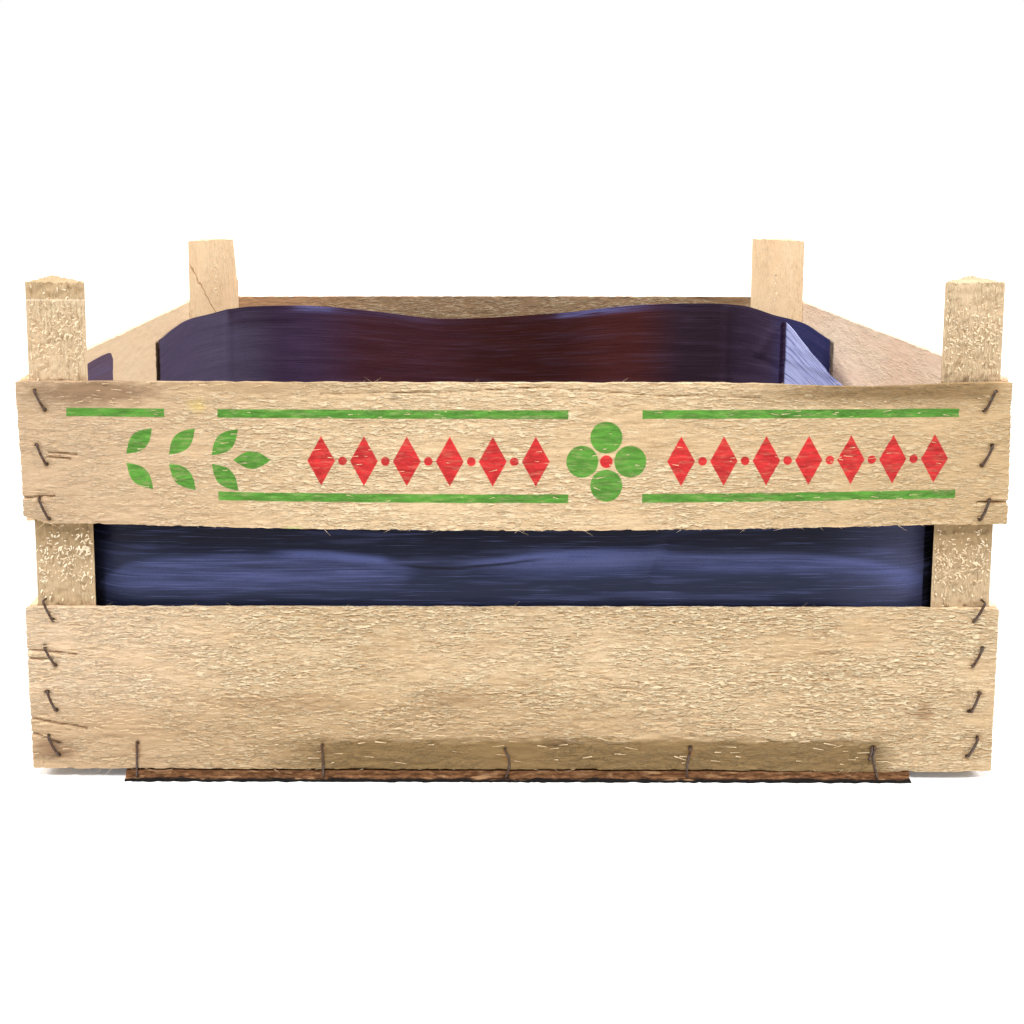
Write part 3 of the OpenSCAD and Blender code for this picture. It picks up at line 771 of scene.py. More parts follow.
def paper_wall(name, path, foot, top_edge, foot_edge, creases):
    """A strip of paper that stands on a path. Edges and creases are given on the flat strip, in mm."""
    length = path_length(path)
    tall = max(z for x, z in top_edge) * MM
    bpy.ops.mesh.primitive_grid_add(
        x_subdivisions=round(length / paper_cell), y_subdivisions=round((tall - foot) / paper_cell), size=1,
        location=(length / 2, 0, (foot + tall) / 2), rotation=(math.radians(90), 0, 0))
    piece = bpy.context.object
    piece.name = name
    piece.scale = (length, tall - foot, 1)
    bpy.ops.object.transform_apply(location=True, rotation=True, scale=True)
    most = 60 * MM
    plain = 125 * MM
    share_up = lambda co: max(0.0, co.z - plain) / (tall - plain)
    drop = lambda co: (tall - smooth_line(top_edge, co.x / MM) * MM) / most
    push(piece, "Z", -most, lambda co: share_up(co) * drop(co))
    share_down = lambda co: max(0.0, plain - co.z) / (plain - foot)
    push(piece, "Z", 10 * MM, lambda co: share_down(co) * smooth_line(foot_edge, co.x / MM) / 10)
    for start, end, width, depth in creases:
        push(piece, "Y", depth * MM, lambda co: crease(co, start, end, width))
    push(piece, "Y", 1.2 * MM, lambda co: 1, **grain(60 * MM, 2.5, 0.2, 0.8, shift=length))
    push(piece, "Y", 0.35 * MM, lambda co: 1, **grain(6 * MM, 12, 0.3, 0.7, shift=length))
    guide = path_curve("wall_path", path, twist_mode="Z_UP")
    modify(piece, "CURVE", object=guide, deform_axis="POS_X")
    bpy.data.objects.remove(guide)
    modify(piece, "SOLIDIFY", thickness=paper_thick, offset=-1)
    return piece


def paper_floor(name, y0, y1, z, corner_y, flat_y0, flat_y1):
    """The part of a sheet that lies on the bottom, wrinkled where nothing lies over or under it."""
    size = 2 * (half_x - 1.5 * MM)
    bpy.ops.mesh.primitive_grid_add(
        x_subdivisions=110, y_subdivisions=38, size=1, location=(0, (y0 + y1) / 2, z))
    piece = bpy.context.object
    piece.name = name
    piece.scale = (size, abs(y1 - y0), 1)
    bpy.ops.object.transform_apply(location=True, rotation=True, scale=True)
    way = math.copysign(1, corner_y)
    for side in (-1, 1):
        at_post = (side * size / 2, corner_y - way * post_leg, 0)
        pick(piece, "FACE", lambda f: True)
        bpy.ops.mesh.bisect(plane_co=at_post, plane_no=(side, way, 0), clear_outer=True)
        leave()

    def free(co):
        inside = rise(half_x - abs(co.x), 6 * MM, 40 * MM) * rise(abs(corner_y - co.y), 6 * MM, 30 * MM)
        if way > 0:
            return inside * rise(co.y, flat_y0, flat_y0 + 25 * MM)
        return inside * (1 - rise(co.y, flat_y1 - 25 * MM, flat_y1))

    push(piece, "Z", 2.2 * MM, free, **grain(38 * MM, 2, 0.3, 0.8, shift=z + y0))
    push(piece, "Z", 0.7 * MM, free, **grain(8 * MM, 4, 0.4, 0.7, shift=z + y1))
    modify(piece, "SOLIDIFY", thickness=paper_thick, offset=1)
    return piece


def joined(name, pieces):
    """Joins pieces into the first one."""
    bpy.ops.object.select_all(action="DESELECT")
    for piece in pieces:
        piece.select_set(True)
    bpy.context.view_layer.objects.active = pieces[0]
    bpy.ops.object.join()
    pieces[0].name = name
    return pieces[0]


# %% [markdown]
# The back sheet runs from its right flap, along the back wall, to its left flap. Two straight folds
# cross it near the posts, and its rim rolls over a little.

# %% The back sheet
floor_front = 4.4 * MM
floor_back = 5.0 * MM
foot_y = half_y - 1.5 * MM
back_corners = [(244, 55), (244, 115.5), (214, 145.5), (-214, 145.5), (-244, 115.5), (-244, 37)]
back_rim = [(0, 193.5), (20, 195.2), (42, 197.4), (62, 198.6), (80, 200.0), (104, 205.5), (140, 207.3),
            (196, 205.7), (262, 198.9), (354, 194.3), (413, 200.6), (460, 204.9), (513, 204.8),
            (534, 203.4), (552, 201.2), (572, 200.8), (600, 200.2), (622, 198.6), (634, 196.8)]
back_creases = [((119, 5), (119, 204), 2.2, 1.5), ((535, 5), (535, 205), 2.2, -1.5),
                ((78, 190), (93, 165), 2.2, 1.3), ((94, 163), (76, 156), 2.0, -1.4),
                ((525, 196), (480, 195), 1.6, 0.9)]
back_path = paper_path(back_corners, 26 * MM)
back_wall = paper_wall("back_wall", back_path, floor_back, back_rim, [(0, 0), (700, 0)], back_creases)
back_floor = paper_floor("back_floor", foot_y, half_y - 157 * MM, floor_back, foot_y, 21 * MM, 0)
back_sheet = joined("liner_back_paper", [back_wall, back_floor])

# %% [markdown]
# The front sheet runs from its left flap, along the front wall, to the right wall, where it leans away
# from the slats and folds in over the crate. That flap's upper edge climbs from the wall to its tip.

# %% The front sheet
front_corners = [(-244, -47.5), (-244, -115.5), (-214, -145.5), (214, -145.5), (244, -115.5), (244, -20),
                 (212.5, 61.5), (207.5, 60.5)]
front_path = paper_path(front_corners, 24 * MM)
tip = path_length(front_path) / MM - 4
front_rim = [(0, 201), (4, 205.8), (60, 205), (470, 204), (520, 190), (560, 172), (tip - 110, 167.5),
             (tip - 88, 166), (tip - 66, 169), (tip - 50, 174.5), (tip - 41, 180), (tip - 22, 192),
             (tip - 1, 206.6), (tip + 5, 204)]
front_foot = [(0, 0), (tip - 96, 0), (tip - 84, 5), (tip + 5, 5)]
front_creases = [((130, 116), (300, 118), 3.0, -1.0), ((300, 110), (470, 116), 3.0, 1.2),
                 ((402, 131), (390, 104), 2.0, 1.3), ((390, 120), (350, 116), 2.0, -1.0),
                 ((tip - 60, 176), (tip, 180), 1.6, 1.0), ((tip - 34, 188), (tip, 190), 1.2, 0.7)]
front_wall = paper_wall("front_wall", front_path, floor_front, front_rim, front_foot, front_creases)
front_floor = paper_floor("front_floor", -foot_y, 167 * MM - half_y, floor_front, -foot_y, 0, -14 * MM)
front_sheet = joined("liner_front_paper", [front_wall, front_floor])
print("paper faces:", len(front_sheet.data.polygons), len(back_sheet.data.polygons))

# %% [markdown]
# ## Materials
# All of them are made from nodes on Object coordinates, so the grain stays with the wood when the
# camera moves. A small class shortens what every material repeats: adding a node and linking it.


# %% A recipe for a material
def tone(red, green, blue):
    """A colour given as 0 to 255, as a shader takes it."""
    linear = []
    for level in (red, green, blue):
        share = level / 255
        linear.append(share / 12.92 if level <= 10 else ((share + 0.055) / 1.055) ** 2.4)
    return (*linear, 1)


class Recipe:
    """One material, with short hands for its nodes."""

    def __init__(self, name, **sockets):
        self.material = bpy.data.materials.new(name)
        self.material.use_nodes = True
        self.tree = self.material.node_tree
        self.shader = self.tree.nodes["Principled BSDF"]
        for socket, value in sockets.items():
            self.shader.inputs[socket.replace("_", " ")].default_value = value
        self.place = self.node("ShaderNodeTexCoord", {}).outputs["Object"]

    def node(self, kind, inputs, **settings):
        made = self.tree.nodes.new(kind)
        for name, value in settings.items():
            setattr(made, name, value)
        for socket, value in inputs.items():
            if isinstance(value, bpy.types.NodeSocket):
                self.tree.links.new(value, made.inputs[socket])
            else:
                made.inputs[socket].default_value = value
        return made

    def math(self, operation, a, b=0.0, c=0.0):
        return self.node("ShaderNodeMath", {0: a, 1: b, 2: c}, operation=operation).outputs[0]

    def plus(self, a, b):
        return self.math("ADD", a, b)

    def minus(self, a, b):
        return self.math("SUBTRACT", a, b)

    def times(self, a, b):
        return self.math("MULTIPLY", a, b)

    def larger(self, a, b):
        return self.math("MAXIMUM", a, b)

    def smaller(self, a, b):
        return self.math("MINIMUM", a, b)

    def bare_size(self, value):
        return self.math("ABSOLUTE", value)

    def far(self, across, up):
        """The distance that two sides at a right angle make."""
        return self.math("SQRT", self.plus(self.times(across, across), self.times(up, up)))

    def spread(self, value, low, high, to_low=0.0, to_high=1.0):
        """A value's range from low to high, eased to another range."""
        sockets = {"Value": value, "From Min": low, "From Max": high, "To Min": to_low, "To Max": to_high}
        return self.node("ShaderNodeMapRange", sockets, interpolation_type="SMOOTHSTEP").outputs["Result"]

    def mix(self, share, a, b, blend="MIX"):
        sockets = {0: share, 6: a, 7: b}
        return self.node("ShaderNodeMix", sockets, data_type="RGBA", blend_type=blend).outputs[2]

    def curve(self, value, points):
        """A smooth curve through points whose places and heights run from 0 to 1."""
        made = self.node("ShaderNodeFloatCurve", {"Value": value})
        line = made.mapping.curves[0]
        for place in points[1:-1]:
            line.points.new(*place)
        line.points[0].location = points[0]
        line.points[-1].location = points[-1]
        made.mapping.update()
        return made.outputs[0]

    def noise(self, size, stretch=1.0, along="X", detail=3.0, rough=0.55, warp=0.0, shift=(0, 0, 0),
              flat=None):
        """Noise with features of a size, stretched along the grain, or along a flat sheet's own length."""
        scale = [1 / (size * (stretch if axis == along else 1)) for axis in "XYZ"]
        place = self.place
        if flat:
            place = self.node("ShaderNodeTexCoord", {}).outputs["UV"]
            scale = [flat[0] * scale[0], flat[1] * scale[1], 1]
        at = self.node("ShaderNodeMapping", {"Vector": place, "Scale": scale, "Location": shift})
        sockets = {"Vector": at.outputs[0], "Scale": 1.0, "Detail": detail, "Roughness": rough,
                   "Distortion": warp}
        return self.node("ShaderNodeTexNoise", sockets).outputs[0]

    def parts(self):
        """The place's X, Y and Z, in millimetres."""
        split_place = self.node("ShaderNodeSeparateXYZ", {0: self.place})
        return [self.math("MULTIPLY", split_place.outputs[i], 1000) for i in range(3)]

    def finish(self, colour, height=None, distance=0.3 * MM, rough=None):
        self.tree.links.new(colour, self.shader.inputs["Base Color"])
        if rough is not None:
            self.tree.links.new(rough, self.shader.inputs["Roughness"])
        if height is not None:
            bump = self.node("ShaderNodeBump", {"Height": height, "Distance": distance})
            self.tree.links.new(bump.outputs[0], self.shader.inputs["Normal"])
        return self.material


# %% [markdown]
# ### Peeled wood
# Peeled poplar is cream, with soft darker bands, fine lines along the grain, and short torn strokes:
# each is a pale lifted fibre over a thin brown shadow. The shadow is painted shade, and the fibre's
# paleness is partly its own and partly a painted highlight. The shadow is the same stroke pattern, read
# a little higher, so it always falls just under its fibre.


# %% The wood recipe
def wood(name, pale, middle, dark, along="X", seed=0.0, torn=1.0, fine=1.0):
    """Peeled or sawn wood. Returns the recipe, its colour and its relief."""
    recipe = Recipe(name, Roughness=0.75, Specular_IOR_Level=0.2)
    pale, middle, dark = tone(*pale), tone(*middle), tone(*dark)
    spot = Vector((seed, seed * 2, seed * 3))
    higher = Vector((0.5, 0, 0) if along == "Z" else (0, 0, 0.5))
    bands = recipe.noise(40 * MM, 2.5, along, 3, shift=spot)
    streaks = recipe.noise(2.6 * MM, 12, along, 4, 0.65, 0.4, spot)
    lines = recipe.noise(0.8 * MM, 12, along, 3, 0.65, shift=spot)
    powder = recipe.noise(0.7 * MM, 1.6, along, 2, 0.8, shift=spot)
    chatter = recipe.noise(2.2 * MM, 7, "X" if along == "Z" else "Z", 2, shift=spot)
    patches = recipe.noise(18 * MM, 2.2, along, 3, shift=(seed + 3, seed, 1))
    colour = recipe.mix(recipe.spread(bands, 0.35, 0.65), middle, pale)
    colour = recipe.mix(recipe.spread(streaks, 0.5, 0.3, 0, 0.45 * fine), colour, dark)
    colour = recipe.mix(recipe.spread(lines, 0.48, 0.3, 0, 0.45 * fine), colour, dark)
    colour = recipe.mix(recipe.spread(powder, 0.45, 0.3, 0, 0.5 * fine), colour, dark)
    colour = recipe.mix(recipe.spread(chatter, 0.5, 0.35, 0, 0.08 * fine), colour, dark)
    area = recipe.spread(patches, 0.28, 0.58)
    height = recipe.times(powder, 0.25)
    height = recipe.plus(height, recipe.times(lines, 0.35))
    height = recipe.plus(height, recipe.times(streaks, 0.5))
    for size, stretch, bar, weight in ((1.3, 5, 0.52, 1.0), (0.7, 6, 0.51, 0.9)):
        shape = {"size": size * MM, "stretch": stretch, "along": along, "rough": 0.6, "warp": 0.35}
        lifted = recipe.times(recipe.spread(recipe.noise(**shape, shift=spot), bar, bar + 0.08), area)
        shaded = recipe.noise(**shape, shift=spot + higher)
        shaded = recipe.times(recipe.spread(shaded, bar, bar + 0.08), area)
        shaded = recipe.larger(recipe.minus(shaded, lifted), 0.0)
        # Painted shade under each fibre, then the fibre's pale colour, which is partly a painted highlight
        colour = recipe.mix(recipe.times(shaded, 0.8 * torn * weight), colour, tone(146, 106, 64))
        colour = recipe.mix(recipe.times(lifted, 0.8 * torn * weight), colour, tone(255, 236, 198))
        height = recipe.plus(height, recipe.times(lifted, 0.8 * torn * weight))
    return recipe, colour, height


def blot(recipe, colour, x, z, wide, tall, stain, strength):
    """A soft patch on a front slat: a stain, or painted shade in a hole."""
    px, _, pz = recipe.at
    dx = recipe.math("DIVIDE", recipe.minus(px, x), wide)
    dz = recipe.math("DIVIDE", recipe.minus(pz, z), tall)
    far = recipe.far(dx, dz)
    ragged = recipe.plus(far, recipe.times(recipe.minus(recipe.torn, 0.5), 0.9))
    return recipe.mix(recipe.spread(ragged, 1.0, 0.2, 0, strength), colour, stain)


# %% [markdown]
# ### Print
# The upper slat carries a printed border of stripes, lozenges, leaves and a rosette. Each shape is a
# distance to its outline, worked out from the place on the slat: below 0 is inside. MINIMUM joins
# shapes, MAXIMUM cuts them, and a soft step over the last quarter of a millimetre inks them.


# %% Printed shapes
def stripe(recipe, middle, length, z, tall=4.4):
    px, _, pz = recipe.at
    dx = recipe.minus(recipe.bare_size(recipe.minus(px, middle)), length / 2)
    dz = recipe.minus(recipe.bare_size(recipe.minus(pz, z)), tall / 2)
    return recipe.larger(dx, dz)


def lozenges(recipe, middle, count, z, pitch=21.5, wide=14.0, tall=25.0, dot=4.4):
    """A row of lozenges with a dot between each two."""
    px, _, pz = recipe.at
    first = middle - (count - 1) / 2 * pitch
    dz = recipe.bare_size(recipe.minus(pz, z))
    near = recipe.math("PINGPONG", recipe.minus(px, first), pitch / 2)
    sum_ = recipe.plus(recipe.math("DIVIDE", near, wide / 2), recipe.math("DIVIDE", dz, tall / 2))
    slope = wide * tall / 4 / math.hypot(wide / 2, tall / 2)
    diamond = recipe.times(recipe.minus(sum_, 1.0), slope)
    between = recipe.minus(pitch / 2, near)
    far = recipe.far(between, dz)
    round_dot = recipe.minus(far, dot / 2)
    row = stripe(recipe, middle, (count - 1) * pitch + wide, z, tall)
    return recipe.larger(recipe.smaller(diamond, round_dot), row)


def rosette(recipe, x, z, lobe=16.0, part=1.0):
    px, _, pz = recipe.at
    dx = recipe.bare_size(recipe.minus(px, x))
    dz = recipe.bare_size(recipe.minus(pz, z))
    out = recipe.minus(recipe.larger(dx, dz), (lobe + part) * math.sqrt(0.5))
    side = recipe.smaller(dx, dz)
    far = recipe.far(out, side)
    return recipe.minus(far, lobe / 2)


def dot(recipe, x, z, across):
    px, _, pz = recipe.at
    dx, dz = recipe.minus(px, x), recipe.minus(pz, z)
    far = recipe.far(dx, dz)
    return recipe.minus(far, across / 2)


def leaf(recipe, along, across, long=19.0, wide=9.0):
    """A leaf's outline, in coordinates along and across it."""
    turn = recipe.times(along, math.pi / long)
    edge = recipe.times(recipe.math("SINE", turn), wide / 2)
    side = recipe.minus(recipe.bare_size(across), edge)
    beyond = recipe.minus(recipe.bare_size(recipe.minus(along, long / 2)), long / 2)
    return recipe.larger(side, beyond)


def branch(recipe, x, z, pitch=21.85, part=2.2):
    """Three pairs of slanted leaves and one at the tip."""
    px, _, pz = recipe.at
    dz = recipe.minus(pz, z)
    up = recipe.minus(recipe.bare_size(dz), part)
    slant = math.sqrt(0.5)
    shape = leaf(recipe, recipe.minus(px, x + 1.5 * pitch), dz)
    for step in (-1, 0, 1):
        u = recipe.minus(px, x + step * pitch)
        along = recipe.times(recipe.plus(u, up), slant)
        across = recipe.times(recipe.minus(up, u), slant)
        shape = recipe.smaller(shape, leaf(recipe, along, across))
    return shape


def inked(recipe, colour, shapes, ink, worn):
    """Prints shapes over a colour. The ink is worn along the grain."""
    joined_shapes = shapes[0]
    for shape in shapes[1:]:
        joined_shapes = recipe.smaller(joined_shapes, shape)
    cover = recipe.spread(joined_shapes, 0.25, -0.25)
    wear = recipe.spread(recipe.noise(1.6 * MM, 6, detail=4, rough=0.7), 0.3, 0.52, worn, 1.0)
    deep = recipe.mix(recipe.spread(recipe.torn, 0.35, 0.65, 0, 0.3), ink, tone(20, 20, 10))
    return recipe.mix(recipe.times(cover, wear), colour, deep)


def staple_holes(recipe, colour, level):
    """Holes where the staples of one level enter, painted dark as shade, each in a brown ring. One mark
    serves all its rows.
    """
    px, _, pz = recipe.at
    middle, bottom, pitch = staple_rows[level]
    dx = recipe.minus(recipe.bare_size(px), middle / MM)
    half = pitch / MM / 2
    dz = recipe.math("WRAP", recipe.minus(pz, bottom / MM), half, -half)
    for way in (-1, 1):
        away_x = recipe.minus(dx, way * 2.4)
        away_z = recipe.minus(dz, way * 5.1)
        far = recipe.far(away_x, away_z)
        ragged = recipe.plus(far, recipe.times(recipe.minus(recipe.torn, 0.5), 3))
        # A brown ring, then the hole itself, painted near black as shade
        colour = recipe.mix(recipe.spread(ragged, 3.0, 1.2, 0, 0.4), colour, tone(150, 112, 72))
        colour = recipe.mix(recipe.spread(ragged, 1.3, 0.7, 0, 0.9), colour, tone(52, 36, 24))
    return colour


# %% Wood of the front slats
z_top = upper_top / MM
high_z, low_z, border_z = z_top - 17, z_top - 59, z_top - 40.5
recipe, colour, height = wood(
    "front_upper_veneer", (230, 201, 162), (218, 188, 148), (160, 126, 86), seed=1.0, torn=0.85)
recipe.at = recipe.parts()
recipe.torn = recipe.noise(3 * MM, 4, detail=3)
px, py, pz = recipe.at
colour = recipe.mix(recipe.spread(px, -80, -250, 0, 0.55), colour, tone(204, 172, 142))
colour = recipe.mix(recipe.spread(px, 40, 240, 0, 0.4), colour, tone(196, 162, 114))
# Painted shade under the right end of the upper edge, where it curls forward and faces down
curl_shade = recipe.times(recipe.spread(px, 96, 170), recipe.spread(pz, 197, 206, 0, 0.8))
curl_shade = recipe.times(curl_shade, recipe.spread(px, 250, 236))
colour = recipe.mix(curl_shade, colour, tone(148, 118, 78))
colour = blot(recipe, colour, -159, 199, 7, 6, tone(226, 200, 110), 0.5)
colour = blot(recipe, colour, -111, 136.6, 9, 3, tone(170, 200, 110), 0.5)
colour = blot(recipe, colour, -212, 206, 52, 12, tone(152, 122, 94), 0.9)
colour = blot(recipe, colour, -130, 210, 70, 7, tone(176, 146, 110), 0.6)
colour = blot(recipe, colour, -60, 204, 4, 4, tone(140, 110, 84), 0.5)
rosette_x = 46
green = [stripe(recipe, middle, length, z) for middle, length, z in (
    (-201, 50, high_z), (-61, 176, high_z), (144, 160, high_z), (-61, 176, low_z), (144, 160, low_z))]
green += [branch(recipe, -174, border_z), rosette(recipe, rosette_x, border_z)]
red = [lozenges(recipe, -43, 6, border_z), lozenges(recipe, 148, 7, border_z)]
red += [dot(recipe, rosette_x, border_z, 6.4)]
colour = staple_holes(recipe, colour, "upper")
outer = recipe.spread(py, front_y / MM + 2.3, front_y / MM + 1.6)
bare = colour
colour = inked(recipe, colour, green, tone(98, 162, 62), 0.72)
colour = inked(recipe, colour, red, tone(224, 52, 54), 0.8)
colour = recipe.mix(outer, bare, colour)
front_upper_wood = recipe.finish(colour, height)

recipe, colour, height = wood(
    "front_lower_veneer", (228, 200, 162), (214, 185, 146), (158, 124, 84), seed=4.0, torn=1.15)
recipe.at = recipe.parts()
recipe.torn = recipe.noise(3 * MM, 4, detail=3)
px, _, pz = recipe.at
colour = recipe.mix(recipe.spread(px, -100, -240, 0, 0.4), colour, tone(240, 210, 182))
# Painted shade: the slat is darker towards the bottom
lower_shade = recipe.times(recipe.spread(pz, 54, 24), recipe.spread(px, 200, -60, 0.35, 1.0))
colour = recipe.mix(recipe.times(lower_shade, 0.45), colour, tone(176, 142, 100))
# Painted shade along the lower edge, where the slat cups inwards and faces down
edge = recipe.plus(pz, recipe.times(recipe.minus(recipe.torn, 0.5), 9))
cupped_edge_shade = recipe.times(recipe.spread(edge, 24, 19), recipe.spread(px, -150, -80))
cupped_edge_shade = recipe.times(cupped_edge_shade, recipe.spread(px, 205, 185))
colour = recipe.mix(recipe.times(cupped_edge_shade, 0.9), colour, tone(136, 110, 70))
colour = blot(recipe, colour, 213.4, 37.5, 8, 8, tone(150, 110, 74), 0.6)
colour = blot(recipe, colour, -30, 44, 30, 8, tone(160, 124, 86), 0.5)
colour = blot(recipe, colour, 25, 20, 12, 5, tone(120, 92, 62), 0.5)
colour = blot(recipe, colour, -120, 42, 60, 8, tone(180, 146, 108), 0.5)
colour = blot(recipe, colour, -240, 16, 16, 9, tone(142, 108, 80), 0.7)
colour = staple_holes(recipe, colour, "lower")
# Where each stitch enters: a brown patch below it, and the hole itself painted dark as shade
for x, z in ((-195.4, 19.6), (-98.9, 18.6), (-3.8, 16.8), (92.6, 17.4), (187.5, 18.4)):
    colour = blot(recipe, colour, x, z - 4, 3, 6, tone(150, 108, 64), 0.5)
    colour = blot(recipe, colour, x, z, 1.9, 1.9, tone(56, 36, 22), 0.9)
front_lower_wood = recipe.finish(colour, height)
print("front slat materials:", front_upper_wood.name, front_lower_wood.name)


# %% Wood of the other slats and the posts
def plain_wood(name, pale, middle, dark, **settings):
    recipe, colour, height = wood(name, pale, middle, dark, **settings)
    return recipe.finish(colour, height)


# The back slats' wood is a shaded copy of the slat wood: darker than the front slats', as painted shade
recipe, colour, height = wood("back_shaded_veneer", (196, 158, 120), (172, 136, 103), (122, 90, 64), seed=7.0,
                              torn=0.6)
px, _, _ = recipe.parts()
colour = recipe.mix(recipe.spread(px, -80, -190, 0, 0.9), colour, tone(226, 174, 130))
back_shaded_wood = recipe.finish(colour, height)
# The end slats' wood is a lit copy of the slat wood: paler than the front slats', as painted light on their
# inner faces
left_lit_wood = plain_wood("left_lit_veneer", (255, 226, 186), (255, 220, 180), (230, 182, 140), along="Y",
                       seed=9.0, torn=0.1, fine=0.2)
right_lit_wood = plain_wood("right_lit_veneer", (255, 228, 200), (250, 214, 186), (214, 168, 136), along="Y",
                        seed=12.0, torn=0.35, fine=0.5)
recipe, colour, height = wood("front_post_wood", (230, 203, 168), (214, 187, 151), (168, 138, 100),
                              along="Z", seed=15.0, torn=0.5, fine=0.45)
px, _, pz = recipe.parts()
# Painted shade on the front posts below the upper slats, deepest just under them
in_window = recipe.spread(pz, 140, 138)
shade_under_slat = recipe.times(recipe.spread(pz, 112, 134, 0.3, 0.85), in_window)
colour = recipe.mix(shade_under_slat, colour, tone(166, 138, 98))
left_top = recipe.times(recipe.spread(px, 10, -10), recipe.spread(pz, 252.2, 252.8))
colour = recipe.mix(recipe.times(left_top, 0.5), colour, tone(190, 158, 114))
# A painted highlight: a pale line at a step near the top of the left post
step = recipe.spread(recipe.bare_size(recipe.minus(pz, 252)), 0.7, 0.2, 0, 0.6)
colour = recipe.mix(recipe.times(step, recipe.spread(px, 10, -10)), colour, tone(252, 230, 196))
front_post_wood = recipe.finish(colour, height)
recipe, colour, height = wood("back_post_wood", (255, 222, 180), (250, 212, 168), (214, 166, 120),
                              along="Z", seed=18.0, torn=0.25, fine=0.4)
px, _, pz = recipe.parts()
wander = recipe.times(recipe.minus(recipe.noise(4 * MM), 0.5), 3)
line = recipe.plus(recipe.times(recipe.minus(pz, 248), 0.38), recipe.plus(px, 247))
line = recipe.bare_size(recipe.plus(line, wander))
seam = recipe.times(recipe.spread(line, 0.6, 0.15, 0, 0.8), recipe.spread(pz, 244, 240))
colour = recipe.mix(seam, colour, tone(170, 118, 78))
back_post_wood = recipe.finish(colour, height)
tuft_wood = plain_wood("tuft_wood", (255, 242, 216), (250, 228, 192), (214, 182, 140), seed=24.0, torn=0.2)
chip_wood = plain_wood("chip_wood", (248, 224, 186), (236, 208, 166), (206, 172, 130), seed=21.0, torn=0.2)

# %% [markdown]
# ### Hardboard and wire
# Hardboard is felted fibre: brown, with pale flecks along its sawn edge. Staple wire is dull grey steel
# that has begun to rust, so its colour and roughness vary along it.

# %% Hardboard and wire
recipe = Recipe("hardboard_fibre", Roughness=0.8, Specular_IOR_Level=0.2)
felt = recipe.noise(1.2 * MM, 3, detail=5, rough=0.7)
flecks = recipe.noise(2.0 * MM, 5, detail=3, rough=0.6, shift=(5, 5, 5))
colour = recipe.mix(recipe.spread(felt, 0.35, 0.65), tone(96, 62, 38), tone(140, 98, 64))
colour = recipe.mix(recipe.spread(flecks, 0.56, 0.66, 0, 0.7), colour, tone(176, 138, 100))
_, _, pz = recipe.parts()
# The foot of the front edge near black: the board's dark underside, with painted contact shadow
ragged = recipe.plus(pz, recipe.times(recipe.minus(flecks, 0.5), 1.6))
colour = recipe.mix(recipe.spread(ragged, 1.5, 0.9), colour, tone(14, 9, 7))
hardboard = recipe.finish(colour, felt, 0.5 * MM)

recipe = Recipe("staple_wire", Metallic=0.6, Specular_IOR_Level=0.4)
rust = recipe.noise(1.6 * MM, 1, detail=4, rough=0.65)
colour = recipe.mix(recipe.spread(rust, 0.42, 0.6), tone(88, 78, 72), tone(82, 54, 38))
staple_wire = recipe.finish(colour, rust, 0.1 * MM, recipe.spread(rust, 0.4, 0.7, 0.38, 0.75))

# %% [markdown]
# ### Paper
# The liner is thin card with a slight gloss, dyed through. It isn't one colour: it is slate and purple
# near the ends and maroon at the middle of the back. Fine scratches run along each sheet. They are read
# from the sheet's own flat coordinates, so they turn with it at the corners and rise and fall with its
# rim. Some of its shade, highlights and reflections are painted into its colour, as noted below.


# %% The two papers
def paper(name, length, tall):
    """A scratched paper's recipe, with its scratches. The sheet is that long and tall."""
    recipe = Recipe(name, Roughness=0.55, Specular_IOR_Level=0.12)
    recipe.at = recipe.parts()
    recipe.flat = (length, tall)
    recipe.scratches = recipe.noise(0.9 * MM, 45, detail=3, rough=0.6, flat=recipe.flat)
    recipe.waves = recipe.noise(5 * MM, 14, detail=2, flat=recipe.flat)
    return recipe


def scratched(recipe, colour, pale, deep, most=0.4):
    """Pale and deep scratches over a colour."""
    colour = recipe.mix(recipe.spread(recipe.scratches, 0.55, 0.72, 0, most), colour, pale)
    colour = recipe.mix(recipe.spread(recipe.scratches, 0.45, 0.28, 0, most), colour, deep)
    colour = recipe.mix(recipe.spread(recipe.waves, 0.5, 0.7, 0, most * 0.5), colour, pale)
    grit = recipe.noise(0.7 * MM, 2, detail=2)
    colour = recipe.mix(recipe.spread(grit, 0.45, 0.3, 0, 0.25), colour, deep)
    height = recipe.plus(recipe.scratches, recipe.times(recipe.waves, 1.5))
    return recipe.finish(colour, height, 0.2 * MM, recipe.spread(recipe.waves, 0.3, 0.7, 0.45, 0.6))


recipe = paper("back_paper", path_length(back_path), 202 * MM)
px, _, pz = recipe.at
hues = ((-205, -175, (80, 60, 90)), (-165, -100, (82, 44, 52)), (-60, 0, (70, 34, 32)),
        (50, 100, (92, 46, 45)), (115, 160, (62, 44, 57)), (180, 215, (63, 49, 70)),
        (222, 240, (53, 55, 98)))
colour = tone(88, 78, 102)
for start, end, hue in hues:
    colour = recipe.mix(recipe.spread(px, start, end), colour, tone(*hue))
panel = recipe.times(recipe.spread(px, -221, -219), recipe.spread(px, -120, -200))
colour = recipe.mix(recipe.times(panel, recipe.spread(pz, 180, 200, 0, 0.5)), colour, tone(50, 30, 50))
rim = recipe.curve(recipe.spread(px, -244, 244), [
    (0, 0), (0.06, 0.1), (0.1, 0.9), (0.14, 0.3), (0.3, 0.15), (0.5, 0), (0.64, 0.1), (0.7, 0.9),
    (0.82, 0.8), (0.88, 0.2), (1, 0)])
flat_place = recipe.node("ShaderNodeTexCoord", {}).outputs["UV"]
near_rim = recipe.node("ShaderNodeSeparateXYZ", {0: flat_place}).outputs[1]
shine = recipe.times(recipe.spread(near_rim, 0.965, 0.985), rim)
shine = recipe.times(shine, recipe.spread(recipe.scratches, 0.35, 0.55))
colour = recipe.mix(shine, colour, tone(120, 120, 178))
